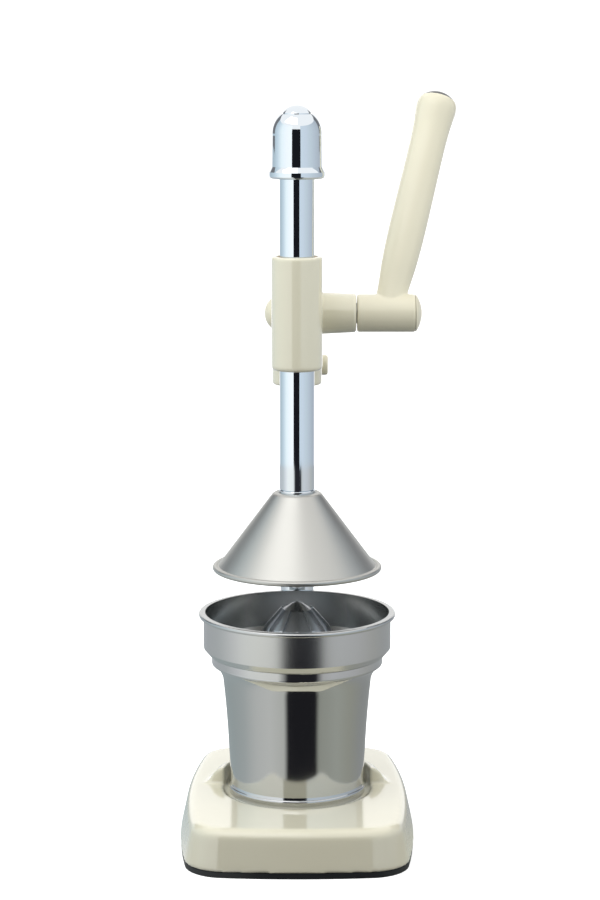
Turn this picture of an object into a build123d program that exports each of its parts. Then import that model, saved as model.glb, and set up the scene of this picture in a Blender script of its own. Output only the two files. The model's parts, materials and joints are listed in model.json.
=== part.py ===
"""Manual citrus press: a cast base and column, a rack-and-pinion ram worked by a side lever,
a press cone, and a strainer bowl that sits in the mouth of a juice cup.

Millimetres, +Z up. The origin is on the ram's axis, on the surface that the press stands on.
The front of the press faces -Y and the lever is on the +X side.
"""

from build123d import *
from math import acos, asin, cos, hypot, pi, radians, sin, sqrt, tan
import os

os.makedirs("parts", exist_ok=True)

# ---------------------------------------------------------------- driving dimensions
# Fits
PRESS_GAP = 0.02
RUNNING_GAP = 0.05
LOOSE_GAP = 0.4

# Base
SOLE_THICK = 3.2
SOLE_INSET = 0.6
BASE_TOP = 26.4
BASE_HALF_WIDTH = 68.4
BASE_SIDE_SWELL = 7.5
BASE_REAR_NARROWING = 2.0
BASE_FRONT_Y = -89.5
BASE_BEHIND_COLUMN = 21.5
BASE_CORNER = 24.0
BASE_EDGE = 6.5
BASE_WALL = 5.0
BASE_DRAFT = 12.0
BASE_HOLLOW_TOP = 17.5
POCKET_RADIUS = 43.4
POCKET_DEPTH = 1.9
FENCE_TOP = 36.0
FENCE_CREST = 3.2
FENCE_FOOT_RADIUS = 56.0
FENCE_START = 6.0
COLUMN_BOSS_RADIUS = 17.0
SOLE_SCREW_X = 42.0
SOLE_SCREW_Y = 64.0
SOLE_SCREW_RADIUS = 2.0

# Column
COLUMN_CLEAR = 5.55
COLUMN_RADIUS = 10.0
COLUMN_FOOT = 16.0
COLUMN_BOLT_RADIUS = 4.0
COLUMN_BOLT_DEPTH = 26.0

# Head
SLEEVE_WALL = 3.1
SLEEVE_BOTTOM = 273.7
SLEEVE_TOP = 339.0
CLAMP_WALL = 4.9
CLAMP_BOTTOM = 256.0
CLAMP_TOP = 331.5
CLAMP_ROOF = 4.0
CHEEK_HALF_WIDTH = 12.5
EAR_HALF_WIDTH = 13.4
EAR_REACH = 25.0
EAR_TOP = 275.0
CLAMP_SLOT = 1.8
CLAMP_SCREW_REACH = 18.0
CLAMP_SCREW_Z = 265.2
CLAMP_SCREW_RADIUS = 2.5
CLAMP_SCREW_HEAD = 4.0
CLAMP_SCREW_HEAD_TALL = 2.6
CLAMP_NUT_WIDTH = 8.0
CLAMP_CAP_RADIUS = 6.3
CLAMP_CAP_TALL = 5.2

# Rack and pinion
MODULE = 2.0
PINION_TEETH = 17
PRESSURE_ANGLE = 20.0
PINION_WIDTH = 10.0
TOOTH_BACKLASH = 0.3
RACK_FLAT = 1.0
RACK_GAPS_BELOW = 4
RACK_GAPS_ABOVE = 8
PINION_Z = 303.9

# Lever shaft
SHAFT_RADIUS = 6.0
SHAFT_FLATS = 9.0
SHAFT_BUSH_WALL = 2.0
BOSS_ROOT_RADIUS = 12.1
BOSS_FLARE = 3.0
BOSS_END_RADIUS = 11.2
BOSS_END_X = 34.3
END_CAP_RADIUS = 10.2
END_CAP_TALL = 6.4

# Ram
RAM_RADIUS = 10.0
RAM_FOOT = 204.3
RAM_SHOULDER = 412.0
RAM_BUSH_WALL = 1.5
RAM_TOP_STUD_RADIUS = 4.0
RAM_FOOT_STUD_RADIUS = 5.0

# Bell cap on the ram
CAP_BOTTOM = 383.0
CAP_TOP = 419.2
CAP_RADIUS = 14.25
CAP_RIM_RADIUS = 15.95
CAP_RIM_TALL = 5.5
CAP_NUT_RADIUS = 8.5
CAP_NUT_TALL = 4.9

# Press cone
CONE_THICK = 1.2
CONE_TOP_RADIUS = 13.5
CONE_RIM_RADIUS = 49.0
CONE_RIM_Z = 158.6
CONE_BEAD = 1.5
CONE_FLANGE = 2.0
CONE_NUT_FLATS = 17.0
COLLAR_TALL = 1.3

# Lever
HUB_GAP = 0.5
HUB_RADIUS = 11.0
HUB_RIGHT = 68.7
HUB_CAP_TALL = 3.8
HUB_SCREW_RADIUS = 2.5
HUB_SCREW_DEPTH = 13.0
LEVER_LEAN = 22.0
LEVER_SPREAD = 13.4
LEVER_START_X = 52.3
LEVER_LONG = 139.0
GRIP_DEPTH_RATIO = 1.06
LEVER_CORE_RADIUS = 4.0
PLUG_RADIUS = 10.0
PLUG_TALL = 4.2
PLUG_SPIGOT_RADIUS = 6.0

# Juice cup
CUP_WALL = 1.2
CUP_LIP_TOP = 107.5
CUP_LIP_BOTTOM = 101.7
CUP_LIP_RADIUS = 49.8
CUP_FLARE = 6.8
CUP_NECK_Z = 91.0
CUP_FOOT_RADIUS = 39.4
CUP_BEAD_RADIUS = 40.6

# Strainer bowl
BOWL_WALL = 0.9
BOWL_SWELL = 2.75
BOWL_BEAD = 1.3
BOWL_BEAD_Z = 130.9
BOWL_KNEE_Z = 111.5
BOWL_SEAT_WIDER = 1.9
BOWL_SEAT_DEPTH = 4.3
PLATE_THICK = 0.9
PLATE_SHELF = 4.0
PLATE_HOLE_RADIUS = 1.6
REAMER_RADIUS = 25.0
REAMER_TALL = 33.0
REAMER_RIBS = 12

# ---------------------------------------------------------------- sizes that follow from them
PINION_PITCH_RADIUS = MODULE * PINION_TEETH / 2
PINION_TIP_RADIUS = PINION_PITCH_RADIUS + MODULE
PINION_ROOT_RADIUS = PINION_PITCH_RADIUS - 1.25 * MODULE
PINION_BASE_RADIUS = PINION_PITCH_RADIUS * cos(radians(PRESSURE_ANGLE))
RACK_TIP_Y = RAM_RADIUS - RACK_FLAT
RACK_PITCH_Y = RACK_TIP_Y - MODULE
RACK_ROOT_Y = RACK_PITCH_Y - 1.25 * MODULE
PINION_Y = RACK_PITCH_Y + PINION_PITCH_RADIUS
PINION_CHAMBER = PINION_TIP_RADIUS + 0.6
CHAMBER_HALF_WIDTH = PINION_WIDTH / 2 + 1.0

RAM_BUSH_RADIUS = RAM_RADIUS + RUNNING_GAP + RAM_BUSH_WALL
SHAFT_BUSH_RADIUS = SHAFT_RADIUS + RUNNING_GAP + SHAFT_BUSH_WALL
CHAMBER_HALF_TALL = sqrt(PINION_CHAMBER**2 - (PINION_Y - RAM_BUSH_RADIUS) ** 2)
POCKET_FLOOR = BASE_TOP - POCKET_DEPTH
SLEEVE_RADIUS = RAM_BUSH_RADIUS + SLEEVE_WALL
SHAFT_LEFT = RUNNING_GAP - SLEEVE_RADIUS
CLAMP_RADIUS = COLUMN_RADIUS + CLAMP_WALL
CUP_NECK_RADIUS = CUP_LIP_RADIUS - CUP_FLARE
BOWL_SEAT_RADIUS = CUP_LIP_RADIUS + BOWL_SEAT_WIDER
BOWL_RADIUS = BOWL_SEAT_RADIUS + BOWL_SWELL
COLUMN_Y = BOWL_RADIUS + COLUMN_CLEAR + COLUMN_RADIUS
BASE_REAR_Y = COLUMN_Y + BASE_BEHIND_COLUMN
EAR_REAR_Y = COLUMN_Y + EAR_REACH
CLAMP_SCREW_Y = COLUMN_Y + CLAMP_SCREW_REACH
CLAMP_REACH = COLUMN_Y - CLAMP_RADIUS
CUP_FLOOR = POCKET_FLOOR + CUP_WALL
HUB_LEFT = BOSS_END_X + HUB_GAP
HUB_CAP_SEAT = HUB_RIGHT - 3.6
SHAFT_RIGHT = HUB_RIGHT - 9.0
HUB_SHOULDER = SHAFT_RIGHT + 0.5
HUB_SEAT_RADIUS = 7.5

CONE_UNDER_TOP = RAM_FOOT - COLLAR_TALL - CONE_THICK
CONE_TOP_Z = RAM_FOOT - COLLAR_TALL
BOWL_SEAT_Z = CUP_LIP_TOP
BOWL_FLOOR_Z = BOWL_SEAT_Z - BOWL_SEAT_DEPTH
BOWL_SPIGOT_RADIUS = CUP_LIP_RADIUS - CUP_WALL - LOOSE_GAP
PLATE_Z = BOWL_FLOOR_Z + BOWL_WALL
REAMER_Z = PLATE_Z + PLATE_THICK

LEVER_AXIS = Vector(
    sin(radians(LEVER_SPREAD)),
    cos(radians(LEVER_SPREAD)) * sin(radians(LEVER_LEAN)),
    cos(radians(LEVER_SPREAD)) * cos(radians(LEVER_LEAN)),
)
LEVER_START = Vector(LEVER_START_X, PINION_Y, PINION_Z)


def trace(start, *steps):
    """Draws one outline: a step of one point is a line, a step of two is an arc through the first."""
    here = start
    for step in steps:
        if len(step) == 1:
            Line(here, step[0])
        else:
            ThreePointArc(here, step[0], step[1])
        here = step[-1]


def save(builder, name):
    """Labels a finished piece and writes its file."""
    builder.part.label = name
    export_step(builder.part, f"parts/{name}.step")


def lever_plane(reach):
    """A plane across the lever, at this distance along it from the hub's axis."""
    centre = LEVER_START + LEVER_AXIS * reach
    return Plane(origin=centre, x_dir=(cos(radians(LEVER_SPREAD)), 0, 0), z_dir=LEVER_AXIS)


def across(x, y=PINION_Y, z=PINION_Z):
    """A plane that faces +X, its local x along the press's y; by default it is centred on the lever shaft."""
    return Plane(origin=(x, y, z), x_dir=(0, 1, 0), z_dir=(1, 0, 0))


def across_clamp(x):
    """A plane that faces +X, centred on the pinch screw."""
    return across(x, CLAMP_SCREW_Y, CLAMP_SCREW_Z)


# ================================================================ frame: base and column

# The base seen from above: four gently swelling sides with rounded corners
FRONT_CORNER_X = BASE_HALF_WIDTH - BASE_SIDE_SWELL
REAR_CORNER_X = FRONT_CORNER_X - BASE_REAR_NARROWING
FRONT_CORNER_Y = BASE_FRONT_Y + 4.5
REAR_CORNER_Y = BASE_REAR_Y - 3.5
WIDEST_Y = -8.0


def base_plan(inset):
    """The base's outline, drawn this far inside its edge."""
    front_x = FRONT_CORNER_X - inset
    rear_x = REAR_CORNER_X - inset
    front_y = FRONT_CORNER_Y + inset
    rear_y = REAR_CORNER_Y - inset
    side_x = BASE_HALF_WIDTH - inset
    with BuildSketch() as plan:
        with BuildLine():
            trace(
                (front_x, front_y),
                ((side_x, WIDEST_Y), (rear_x, rear_y)),
                ((0, BASE_REAR_Y - inset), (-rear_x, rear_y)),
                ((-side_x, WIDEST_Y), (-front_x, front_y)),
                ((0, BASE_FRONT_Y + inset), (front_x, front_y)),
            )
        make_face()
        fillet(plan.vertices(), BASE_CORNER - inset)
    return plan.sketch


BASE_PLAN = base_plan(0)
SOLE_PLAN = base_plan(SOLE_INSET)
HOLLOW_PLAN = base_plan(BASE_WALL)

SOLE_SCREW_PLACES = [
    (SOLE_SCREW_X, -SOLE_SCREW_Y),
    (-SOLE_SCREW_X, -SOLE_SCREW_Y),
    (SOLE_SCREW_X, SOLE_SCREW_Y),
    (-SOLE_SCREW_X, SOLE_SCREW_Y),
]
SOLE_SCREW_HEAD = 2.0 * SOLE_SCREW_RADIUS
SOLE_BOSS_WALL = 3.5
SOLE_SCREW_LONG = 14.2
SOLE_SCREW_SINK = 0.4
SOLE_SCREW_HEAD_TALL = SOLE_THICK - 1.4
COLUMN_BOLT_HEAD = 6.5
COLUMN_BOLT_HEAD_TALL = 5.3
COLUMN_WASHER_RADIUS = 8.5
COLUMN_WASHER_THICK = 1.6
COLUMN_BOLT_SEAT = COLUMN_FOOT - 4.0

# Cast base: a shell with a round pocket for the cup, and a low fence behind it that joins the column's boss
with BuildPart() as base_casting:
    with BuildSketch(Plane.XY.offset(SOLE_THICK)):
        add(BASE_PLAN)
    extrude(amount=BASE_TOP - SOLE_THICK, taper=BASE_DRAFT)
    fillet(base_casting.faces().sort_by(Axis.Z)[-1].edges(), BASE_EDGE)
    # fence: a half ring with a rounded crest and a long outer slope
    fence_start = Plane.XZ.rotated((0, 0, FENCE_START))
    with BuildSketch(fence_start):
        with BuildLine():
            crest_r = POCKET_RADIUS + FENCE_CREST
            slope_r = (crest_r + FENCE_FOOT_RADIUS) / 2
            slope_z = (BASE_TOP + FENCE_TOP) / 2 - 1.0
            trace(
                (POCKET_RADIUS - 2, BASE_TOP - 1),
                ((POCKET_RADIUS - 2, FENCE_TOP),),
                ((POCKET_RADIUS + 0.6 * FENCE_CREST, FENCE_TOP),),
                ((crest_r + 0.6, FENCE_TOP - 1.0), (slope_r, slope_z)),
                ((FENCE_FOOT_RADIUS - 2.0, BASE_TOP + 0.8), (FENCE_FOOT_RADIUS, BASE_TOP)),
                ((FENCE_FOOT_RADIUS, BASE_TOP - 1),),
                ((POCKET_RADIUS - 2, BASE_TOP - 1),),
            )
        make_face()
    revolve(axis=Axis.Z, revolution_arc=180 - 2 * FENCE_START)
    with BuildSketch(Plane.XY.offset(BASE_TOP - 1)):
        with Locations((0, COLUMN_Y)):
            Circle(COLUMN_BOSS_RADIUS)
    extrude(amount=FENCE_TOP - BASE_TOP, taper=BASE_DRAFT)
    # pocket for the cup
    with BuildSketch(Plane.XY.offset(POCKET_FLOOR)):
        Circle(POCKET_RADIUS)
    extrude(amount=FENCE_TOP, mode=Mode.SUBTRACT)
    # hollow underside, with a boss under the column and one over each sole screw
    with BuildSketch(Plane.XY.offset(SOLE_THICK)):
        add(HOLLOW_PLAN)
    extrude(amount=BASE_HOLLOW_TOP - SOLE_THICK, taper=BASE_DRAFT, mode=Mode.SUBTRACT)
    with BuildSketch(Plane.XY.offset(SOLE_THICK)):
        with Locations((0, COLUMN_Y)):
            Circle(COLUMN_BOSS_RADIUS)
        with Locations(*SOLE_SCREW_PLACES):
            Circle(SOLE_SCREW_RADIUS + SOLE_BOSS_WALL)
    extrude(amount=BASE_HOLLOW_TOP - SOLE_THICK + 1)
    # column socket, bolt hole, recess for the bolt's head, and the sole screws' holes
    column_bores = [
        (COLUMN_RADIUS + PRESS_GAP, COLUMN_FOOT, FENCE_TOP + 1),
        (COLUMN_BOLT_RADIUS + 0.3, 0, COLUMN_FOOT),
        (COLUMN_WASHER_RADIUS + 0.5, 0, COLUMN_BOLT_SEAT),
    ]
    for radius, bottom, top in column_bores:
        with BuildSketch(Plane.XY.offset(bottom)):
            with Locations((0, COLUMN_Y)):
                Circle(radius)
        extrude(amount=top - bottom, mode=Mode.SUBTRACT)
    with BuildSketch(Plane.XY.offset(SOLE_THICK)):
        with Locations(*SOLE_SCREW_PLACES):
            Circle(SOLE_SCREW_RADIUS + PRESS_GAP)
    extrude(amount=SOLE_SCREW_LONG - SOLE_THICK, mode=Mode.SUBTRACT)
save(base_casting, "base_casting")

# Rubber sole under the whole base
with BuildPart() as base_sole:
    with BuildSketch():
        add(SOLE_PLAN)
    extrude(amount=SOLE_THICK)
    with BuildSketch():
        with Locations(*SOLE_SCREW_PLACES):
            Circle(SOLE_SCREW_RADIUS + 0.2)
        with Locations((0, COLUMN_Y)):
            Circle(COLUMN_WASHER_RADIUS + 0.5)
    extrude(amount=SOLE_THICK, mode=Mode.SUBTRACT)
    with BuildSketch():
        with Locations(*SOLE_SCREW_PLACES):
            Circle(SOLE_SCREW_HEAD + 0.3)
    extrude(amount=SOLE_THICK - 1.0, mode=Mode.SUBTRACT)
save(base_sole, "base_sole")

# Pan-head screws that hold the sole, their cross-slotted heads sunk in it
with BuildPart() as sole_screws:
    with BuildSketch(Plane.XY.offset(SOLE_SCREW_SINK)):
        with Locations(*SOLE_SCREW_PLACES):
            Circle(SOLE_SCREW_HEAD)
    extrude(amount=SOLE_SCREW_HEAD_TALL)
    with BuildSketch(Plane.XY.offset(SOLE_SCREW_SINK)):
        with Locations(*SOLE_SCREW_PLACES):
            Circle(SOLE_SCREW_RADIUS)
    extrude(amount=SOLE_SCREW_LONG - 0.8)
    with BuildSketch(Plane.XY.offset(SOLE_SCREW_SINK)):
        with Locations(*SOLE_SCREW_PLACES):
            Rectangle(5.0, 0.9)
            Rectangle(0.9, 5.0)
    extrude(amount=1.0, mode=Mode.SUBTRACT)
save(sole_screws, "sole_screws")

# Chromed column, tapped from below
COLUMN_TOP = CLAMP_TOP - CLAMP_ROOF - 0.5
with BuildPart() as column:
    with BuildSketch(Plane.XY.offset(COLUMN_FOOT)):
        with Locations((0, COLUMN_Y)):
            Circle(COLUMN_RADIUS)
    extrude(amount=COLUMN_TOP - COLUMN_FOOT)
    chamfer(column.edges().filter_by(GeomType.CIRCLE), 0.8)
    with BuildSketch(Plane.XY.offset(COLUMN_FOOT)):
        with Locations((0, COLUMN_Y)):
            Circle(COLUMN_BOLT_RADIUS + PRESS_GAP)
    extrude(amount=COLUMN_BOLT_DEPTH, mode=Mode.SUBTRACT)
save(column, "column")

# Hexagon bolt and washer under the column
with BuildPart() as column_washer:
    with BuildSketch(Plane.XY.offset(COLUMN_BOLT_SEAT - COLUMN_WASHER_THICK)):
        with Locations((0, COLUMN_Y)):
            Circle(COLUMN_WASHER_RADIUS)
            Circle(COLUMN_BOLT_RADIUS + 0.2, mode=Mode.SUBTRACT)
    extrude(amount=COLUMN_WASHER_THICK)
save(column_washer, "column_washer")

COLUMN_BOLT_HEAD_Z = COLUMN_BOLT_SEAT - COLUMN_WASHER_THICK - COLUMN_BOLT_HEAD_TALL
with BuildPart() as column_bolt:
    with BuildSketch(Plane.XY.offset(COLUMN_BOLT_HEAD_Z)):
        with Locations((0, COLUMN_Y)):
            RegularPolygon(COLUMN_BOLT_HEAD, 6, major_radius=False)
    extrude(amount=COLUMN_BOLT_HEAD_TALL)
    with BuildSketch(Plane.XY.offset(COLUMN_BOLT_HEAD_Z)):
        with Locations((0, COLUMN_Y)):
            Circle(COLUMN_BOLT_RADIUS)
    extrude(amount=COLUMN_FOOT + COLUMN_BOLT_DEPTH - 2 - COLUMN_BOLT_HEAD_Z)
save(column_bolt, "column_bolt")

# ================================================================ frame: head

# Cast head: front sleeve for the ram, rear clamp on the column, and a hollow web that holds the pinion
with BuildPart() as head_casting:
    # web
    with BuildSketch(Plane.YZ):
        with BuildLine():
            trace(
                (0, SLEEVE_BOTTOM + 4.5),
                ((CLAMP_REACH + 4, CLAMP_BOTTOM + 11),),
                ((COLUMN_Y, CLAMP_BOTTOM + 11),),
                ((COLUMN_Y, CLAMP_TOP - 3.4),),
                ((CLAMP_REACH, CLAMP_TOP - 3.4),),
                ((CLAMP_REACH / 2, CLAMP_TOP - 2.4), (0, SLEEVE_TOP - 5.5)),
                ((0, SLEEVE_BOTTOM + 4.5),),
            )
        make_face()
    extrude(amount=CHEEK_HALF_WIDTH, both=True)
    fillet(head_casting.edges().filter_by(lambda e: abs(e.center().X) > CHEEK_HALF_WIDTH - 0.1), 4.0)
    # ears of the clamp
    with BuildSketch(Plane.XY.offset(CLAMP_BOTTOM + 0.8)):
        with Locations((0, (COLUMN_Y + EAR_REAR_Y) / 2)):
            RectangleRounded(2 * EAR_HALF_WIDTH, EAR_REAR_Y - COLUMN_Y, 2.5)
    extrude(amount=EAR_TOP - CLAMP_BOTTOM - 0.8)
    # clamp sleeve
    with BuildSketch(Plane.YZ):
        with BuildLine():
            clamp_edge = COLUMN_Y + CLAMP_RADIUS
            trace(
                (COLUMN_Y, CLAMP_BOTTOM),
                ((clamp_edge - 1.0, CLAMP_BOTTOM),),
                ((clamp_edge, CLAMP_BOTTOM + 1.0),),
                ((clamp_edge, CLAMP_TOP - 2.6),),
                ((clamp_edge - 0.76, CLAMP_TOP - 0.76), (clamp_edge - 2.6, CLAMP_TOP)),
                ((COLUMN_Y, CLAMP_TOP),),
                ((COLUMN_Y, CLAMP_BOTTOM),),
            )
        make_face()
    revolve(axis=Axis((0, COLUMN_Y, 0), (0, 0, 1)))
    # shaft boss
    with BuildSketch(Plane.XY.offset(PINION_Z)):
        with BuildLine():
            root_x = CHEEK_HALF_WIDTH + 3.4
            trace(
                (0, PINION_Y),
                ((root_x, PINION_Y),),
                ((BOSS_END_X, PINION_Y),),
                ((BOSS_END_X, PINION_Y + BOSS_END_RADIUS - 0.6),),
                ((BOSS_END_X - 0.6, PINION_Y + BOSS_END_RADIUS),),
                ((root_x, PINION_Y + BOSS_ROOT_RADIUS),),
                (
                    (CHEEK_HALF_WIDTH + 0.8, PINION_Y + BOSS_ROOT_RADIUS + 0.7),
                    (CHEEK_HALF_WIDTH - 0.2, PINION_Y + BOSS_ROOT_RADIUS + BOSS_FLARE),
                ),
                ((0, PINION_Y + BOSS_ROOT_RADIUS + BOSS_FLARE),),
                ((0, PINION_Y),),
            )
        make_face()
    revolve(axis=Axis((0, PINION_Y, PINION_Z), (1, 0, 0)))
    # front sleeve
    with BuildSketch(Plane.XZ):
        with BuildLine():
            trace(
                (0, SLEEVE_BOTTOM),
                ((SLEEVE_RADIUS - 2.6, SLEEVE_BOTTOM),),
                ((SLEEVE_RADIUS - 0.76, SLEEVE_BOTTOM + 0.76), (SLEEVE_RADIUS, SLEEVE_BOTTOM + 2.6)),
                ((SLEEVE_RADIUS, SLEEVE_TOP - 1.4),),
                ((SLEEVE_RADIUS - 0.41, SLEEVE_TOP - 0.41), (SLEEVE_RADIUS - 1.4, SLEEVE_TOP)),
                ((0, SLEEVE_TOP),),
                ((0, SLEEVE_BOTTOM),),
            )
        make_face()
    revolve(axis=Axis.Z)
    # bores and chamber
    with BuildSketch(Plane.XY.offset(SLEEVE_BOTTOM - 1)):
        Circle(RAM_BUSH_RADIUS + PRESS_GAP)
    extrude(amount=SLEEVE_TOP - SLEEVE_BOTTOM + 2, mode=Mode.SUBTRACT)
    with BuildSketch(Plane.XY.offset(CLAMP_BOTTOM - 1)):
        with Locations((0, COLUMN_Y)):
            Circle(COLUMN_RADIUS + PRESS_GAP)
    extrude(amount=CLAMP_TOP - CLAMP_ROOF - CLAMP_BOTTOM + 1, mode=Mode.SUBTRACT)
    with BuildSketch(Plane.YZ):
        with Locations((PINION_Y, PINION_Z)):
            Circle(PINION_CHAMBER)
        with Locations(((SLEEVE_RADIUS + 1.5 + CLAMP_REACH - 1.2) / 2, PINION_Z - 25)):
            Rectangle(CLAMP_REACH - 2.7 - SLEEVE_RADIUS, 50)
        with Locations(((PINION_Y + CLAMP_REACH - 1.2) / 2, PINION_Z)):
            Rectangle(CLAMP_REACH - 1.2 - PINION_Y, 2 * PINION_CHAMBER)
    extrude(amount=CHAMBER_HALF_WIDTH, both=True, mode=Mode.SUBTRACT)
    with BuildSketch(across(-CHEEK_HALF_WIDTH - 1)):
        Circle(SHAFT_BUSH_RADIUS + PRESS_GAP)
    extrude(amount=CHEEK_HALF_WIDTH + 2 + BOSS_END_X, mode=Mode.SUBTRACT)
    # split of the clamp and the screw's hole
    with BuildSketch(Plane.XY.offset(CLAMP_BOTTOM - 1)):
        with Locations((0, COLUMN_Y + 20)):
            Rectangle(CLAMP_SLOT, 30)
    extrude(amount=EAR_TOP - CLAMP_BOTTOM + 8, mode=Mode.SUBTRACT)
    with BuildSketch(across_clamp(-30)):
        Circle(CLAMP_SCREW_RADIUS + 0.2)
    extrude(amount=60, mode=Mode.SUBTRACT)
    # pocket for the square nut in the left ear
    with BuildSketch(across_clamp(-EAR_HALF_WIDTH)):
        Rectangle(CLAMP_NUT_WIDTH + 0.2, CLAMP_NUT_WIDTH + 0.2)
    extrude(amount=4.2, mode=Mode.SUBTRACT)
save(head_casting, "head_casting")

# Pinch screw, its moulded cap, and a square nut let into the other ear
with BuildPart() as clamp_screw:
    with BuildSketch(across_clamp(-EAR_HALF_WIDTH + 0.4)):
        Circle(CLAMP_SCREW_RADIUS)
    extrude(amount=2 * EAR_HALF_WIDTH)
    with BuildSketch(across_clamp(EAR_HALF_WIDTH)):
        RegularPolygon(CLAMP_SCREW_HEAD, 6, major_radius=False)
    extrude(amount=CLAMP_SCREW_HEAD_TALL)
save(clamp_screw, "clamp_screw")

with BuildPart() as clamp_screw_cap:
    with BuildSketch(Plane.XY.offset(CLAMP_SCREW_Z)):
        with BuildLine():
            cap_x = EAR_HALF_WIDTH + 0.05
            trace(
                (cap_x, CLAMP_SCREW_Y),
                ((cap_x, CLAMP_SCREW_Y + CLAMP_CAP_RADIUS),),
                ((cap_x + CLAMP_CAP_TALL - 1.4, CLAMP_SCREW_Y + CLAMP_CAP_RADIUS - 0.2),),
                (
                    (cap_x + CLAMP_CAP_TALL - 0.35, CLAMP_SCREW_Y + CLAMP_CAP_RADIUS - 0.65),
                    (cap_x + CLAMP_CAP_TALL, CLAMP_SCREW_Y + CLAMP_CAP_RADIUS - 1.8),
                ),
                ((cap_x + CLAMP_CAP_TALL, CLAMP_SCREW_Y),),
                ((cap_x, CLAMP_SCREW_Y),),
            )
        make_face()
    revolve(axis=Axis((0, CLAMP_SCREW_Y, CLAMP_SCREW_Z), (1, 0, 0)))
    with BuildSketch(across_clamp(EAR_HALF_WIDTH)):
        RegularPolygon(CLAMP_SCREW_HEAD + PRESS_GAP, 6, major_radius=False)
    extrude(amount=CLAMP_SCREW_HEAD_TALL + 0.1, mode=Mode.SUBTRACT)
save(clamp_screw_cap, "clamp_screw_cap")

with BuildPart() as clamp_nut:
    with BuildSketch(across_clamp(-EAR_HALF_WIDTH + 0.6)):
        Rectangle(CLAMP_NUT_WIDTH, CLAMP_NUT_WIDTH)
        Circle(CLAMP_SCREW_RADIUS + PRESS_GAP, mode=Mode.SUBTRACT)
    extrude(amount=3.5)
save(clamp_nut, "clamp_nut")

# Bronze bushes that guide the ram, above and below the pinion
LOWER_BUSH_TOP = PINION_Z - CHAMBER_HALF_TALL - 1.0
UPPER_BUSH_BOTTOM = PINION_Z + CHAMBER_HALF_TALL + 1.0
with BuildPart() as lower_ram_bush:
    with BuildSketch(Plane.XY.offset(SLEEVE_BOTTOM + 0.5)):
        Circle(RAM_BUSH_RADIUS)
        Circle(RAM_RADIUS + RUNNING_GAP, mode=Mode.SUBTRACT)
    extrude(amount=LOWER_BUSH_TOP - SLEEVE_BOTTOM - 0.5)
save(lower_ram_bush, "lower_ram_bush")

with BuildPart() as upper_ram_bush:
    with BuildSketch(Plane.XY.offset(UPPER_BUSH_BOTTOM)):
        Circle(RAM_BUSH_RADIUS)
        Circle(RAM_RADIUS + RUNNING_GAP, mode=Mode.SUBTRACT)
    extrude(amount=SLEEVE_TOP - 0.5 - UPPER_BUSH_BOTTOM)
save(upper_ram_bush, "upper_ram_bush")

# Bushes for the lever shaft, in the left cheek and in the boss
with BuildPart() as left_shaft_bush:
    with BuildSketch(across(-CHEEK_HALF_WIDTH)):
        Circle(SHAFT_BUSH_RADIUS)
        Circle(SHAFT_RADIUS + RUNNING_GAP, mode=Mode.SUBTRACT)
    extrude(amount=CHEEK_HALF_WIDTH - CHAMBER_HALF_WIDTH)
save(left_shaft_bush, "left_shaft_bush")

with BuildPart() as right_shaft_bush:
    with BuildSketch(across(CHAMBER_HALF_WIDTH)):
        Circle(SHAFT_BUSH_RADIUS)
        Circle(SHAFT_RADIUS + RUNNING_GAP, mode=Mode.SUBTRACT)
    extrude(amount=BOSS_END_X - CHAMBER_HALF_WIDTH - 0.4)
save(right_shaft_bush, "right_shaft_bush")

# Domed cap over the shaft's left end, gripping the cheek with a short ring
END_CAP_SPHERE = (END_CAP_RADIUS**2 + END_CAP_TALL**2) / (2 * END_CAP_TALL)
with BuildPart() as shaft_end_cap:
    with BuildSketch(Plane.XY.offset(PINION_Z)):
        with BuildLine():
            face_x = -CHEEK_HALF_WIDTH
            apex_x = face_x - END_CAP_TALL
            bulge_angle = asin(END_CAP_RADIUS / END_CAP_SPHERE) / 2
            bulge_x = apex_x + END_CAP_SPHERE * (1 - cos(bulge_angle))
            bulge_r = END_CAP_SPHERE * sin(bulge_angle)
            inner_tall = END_CAP_TALL - 1.6
            trace(
                (apex_x, PINION_Y),
                ((bulge_x, PINION_Y + bulge_r), (face_x, PINION_Y + END_CAP_RADIUS)),
                ((face_x, PINION_Y + SHAFT_RADIUS + 1.2),),
                ((face_x - inner_tall * 0.6, PINION_Y + SHAFT_RADIUS + 1.2),),
                ((face_x - inner_tall, PINION_Y + SHAFT_RADIUS - 1.5),),
                ((face_x - inner_tall, PINION_Y),),
                ((apex_x, PINION_Y),),
            )
        make_face()
    revolve(axis=Axis((0, PINION_Y, PINION_Z), (1, 0, 0)))
save(shaft_end_cap, "shaft_end_cap")

# ================================================================ ram

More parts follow.
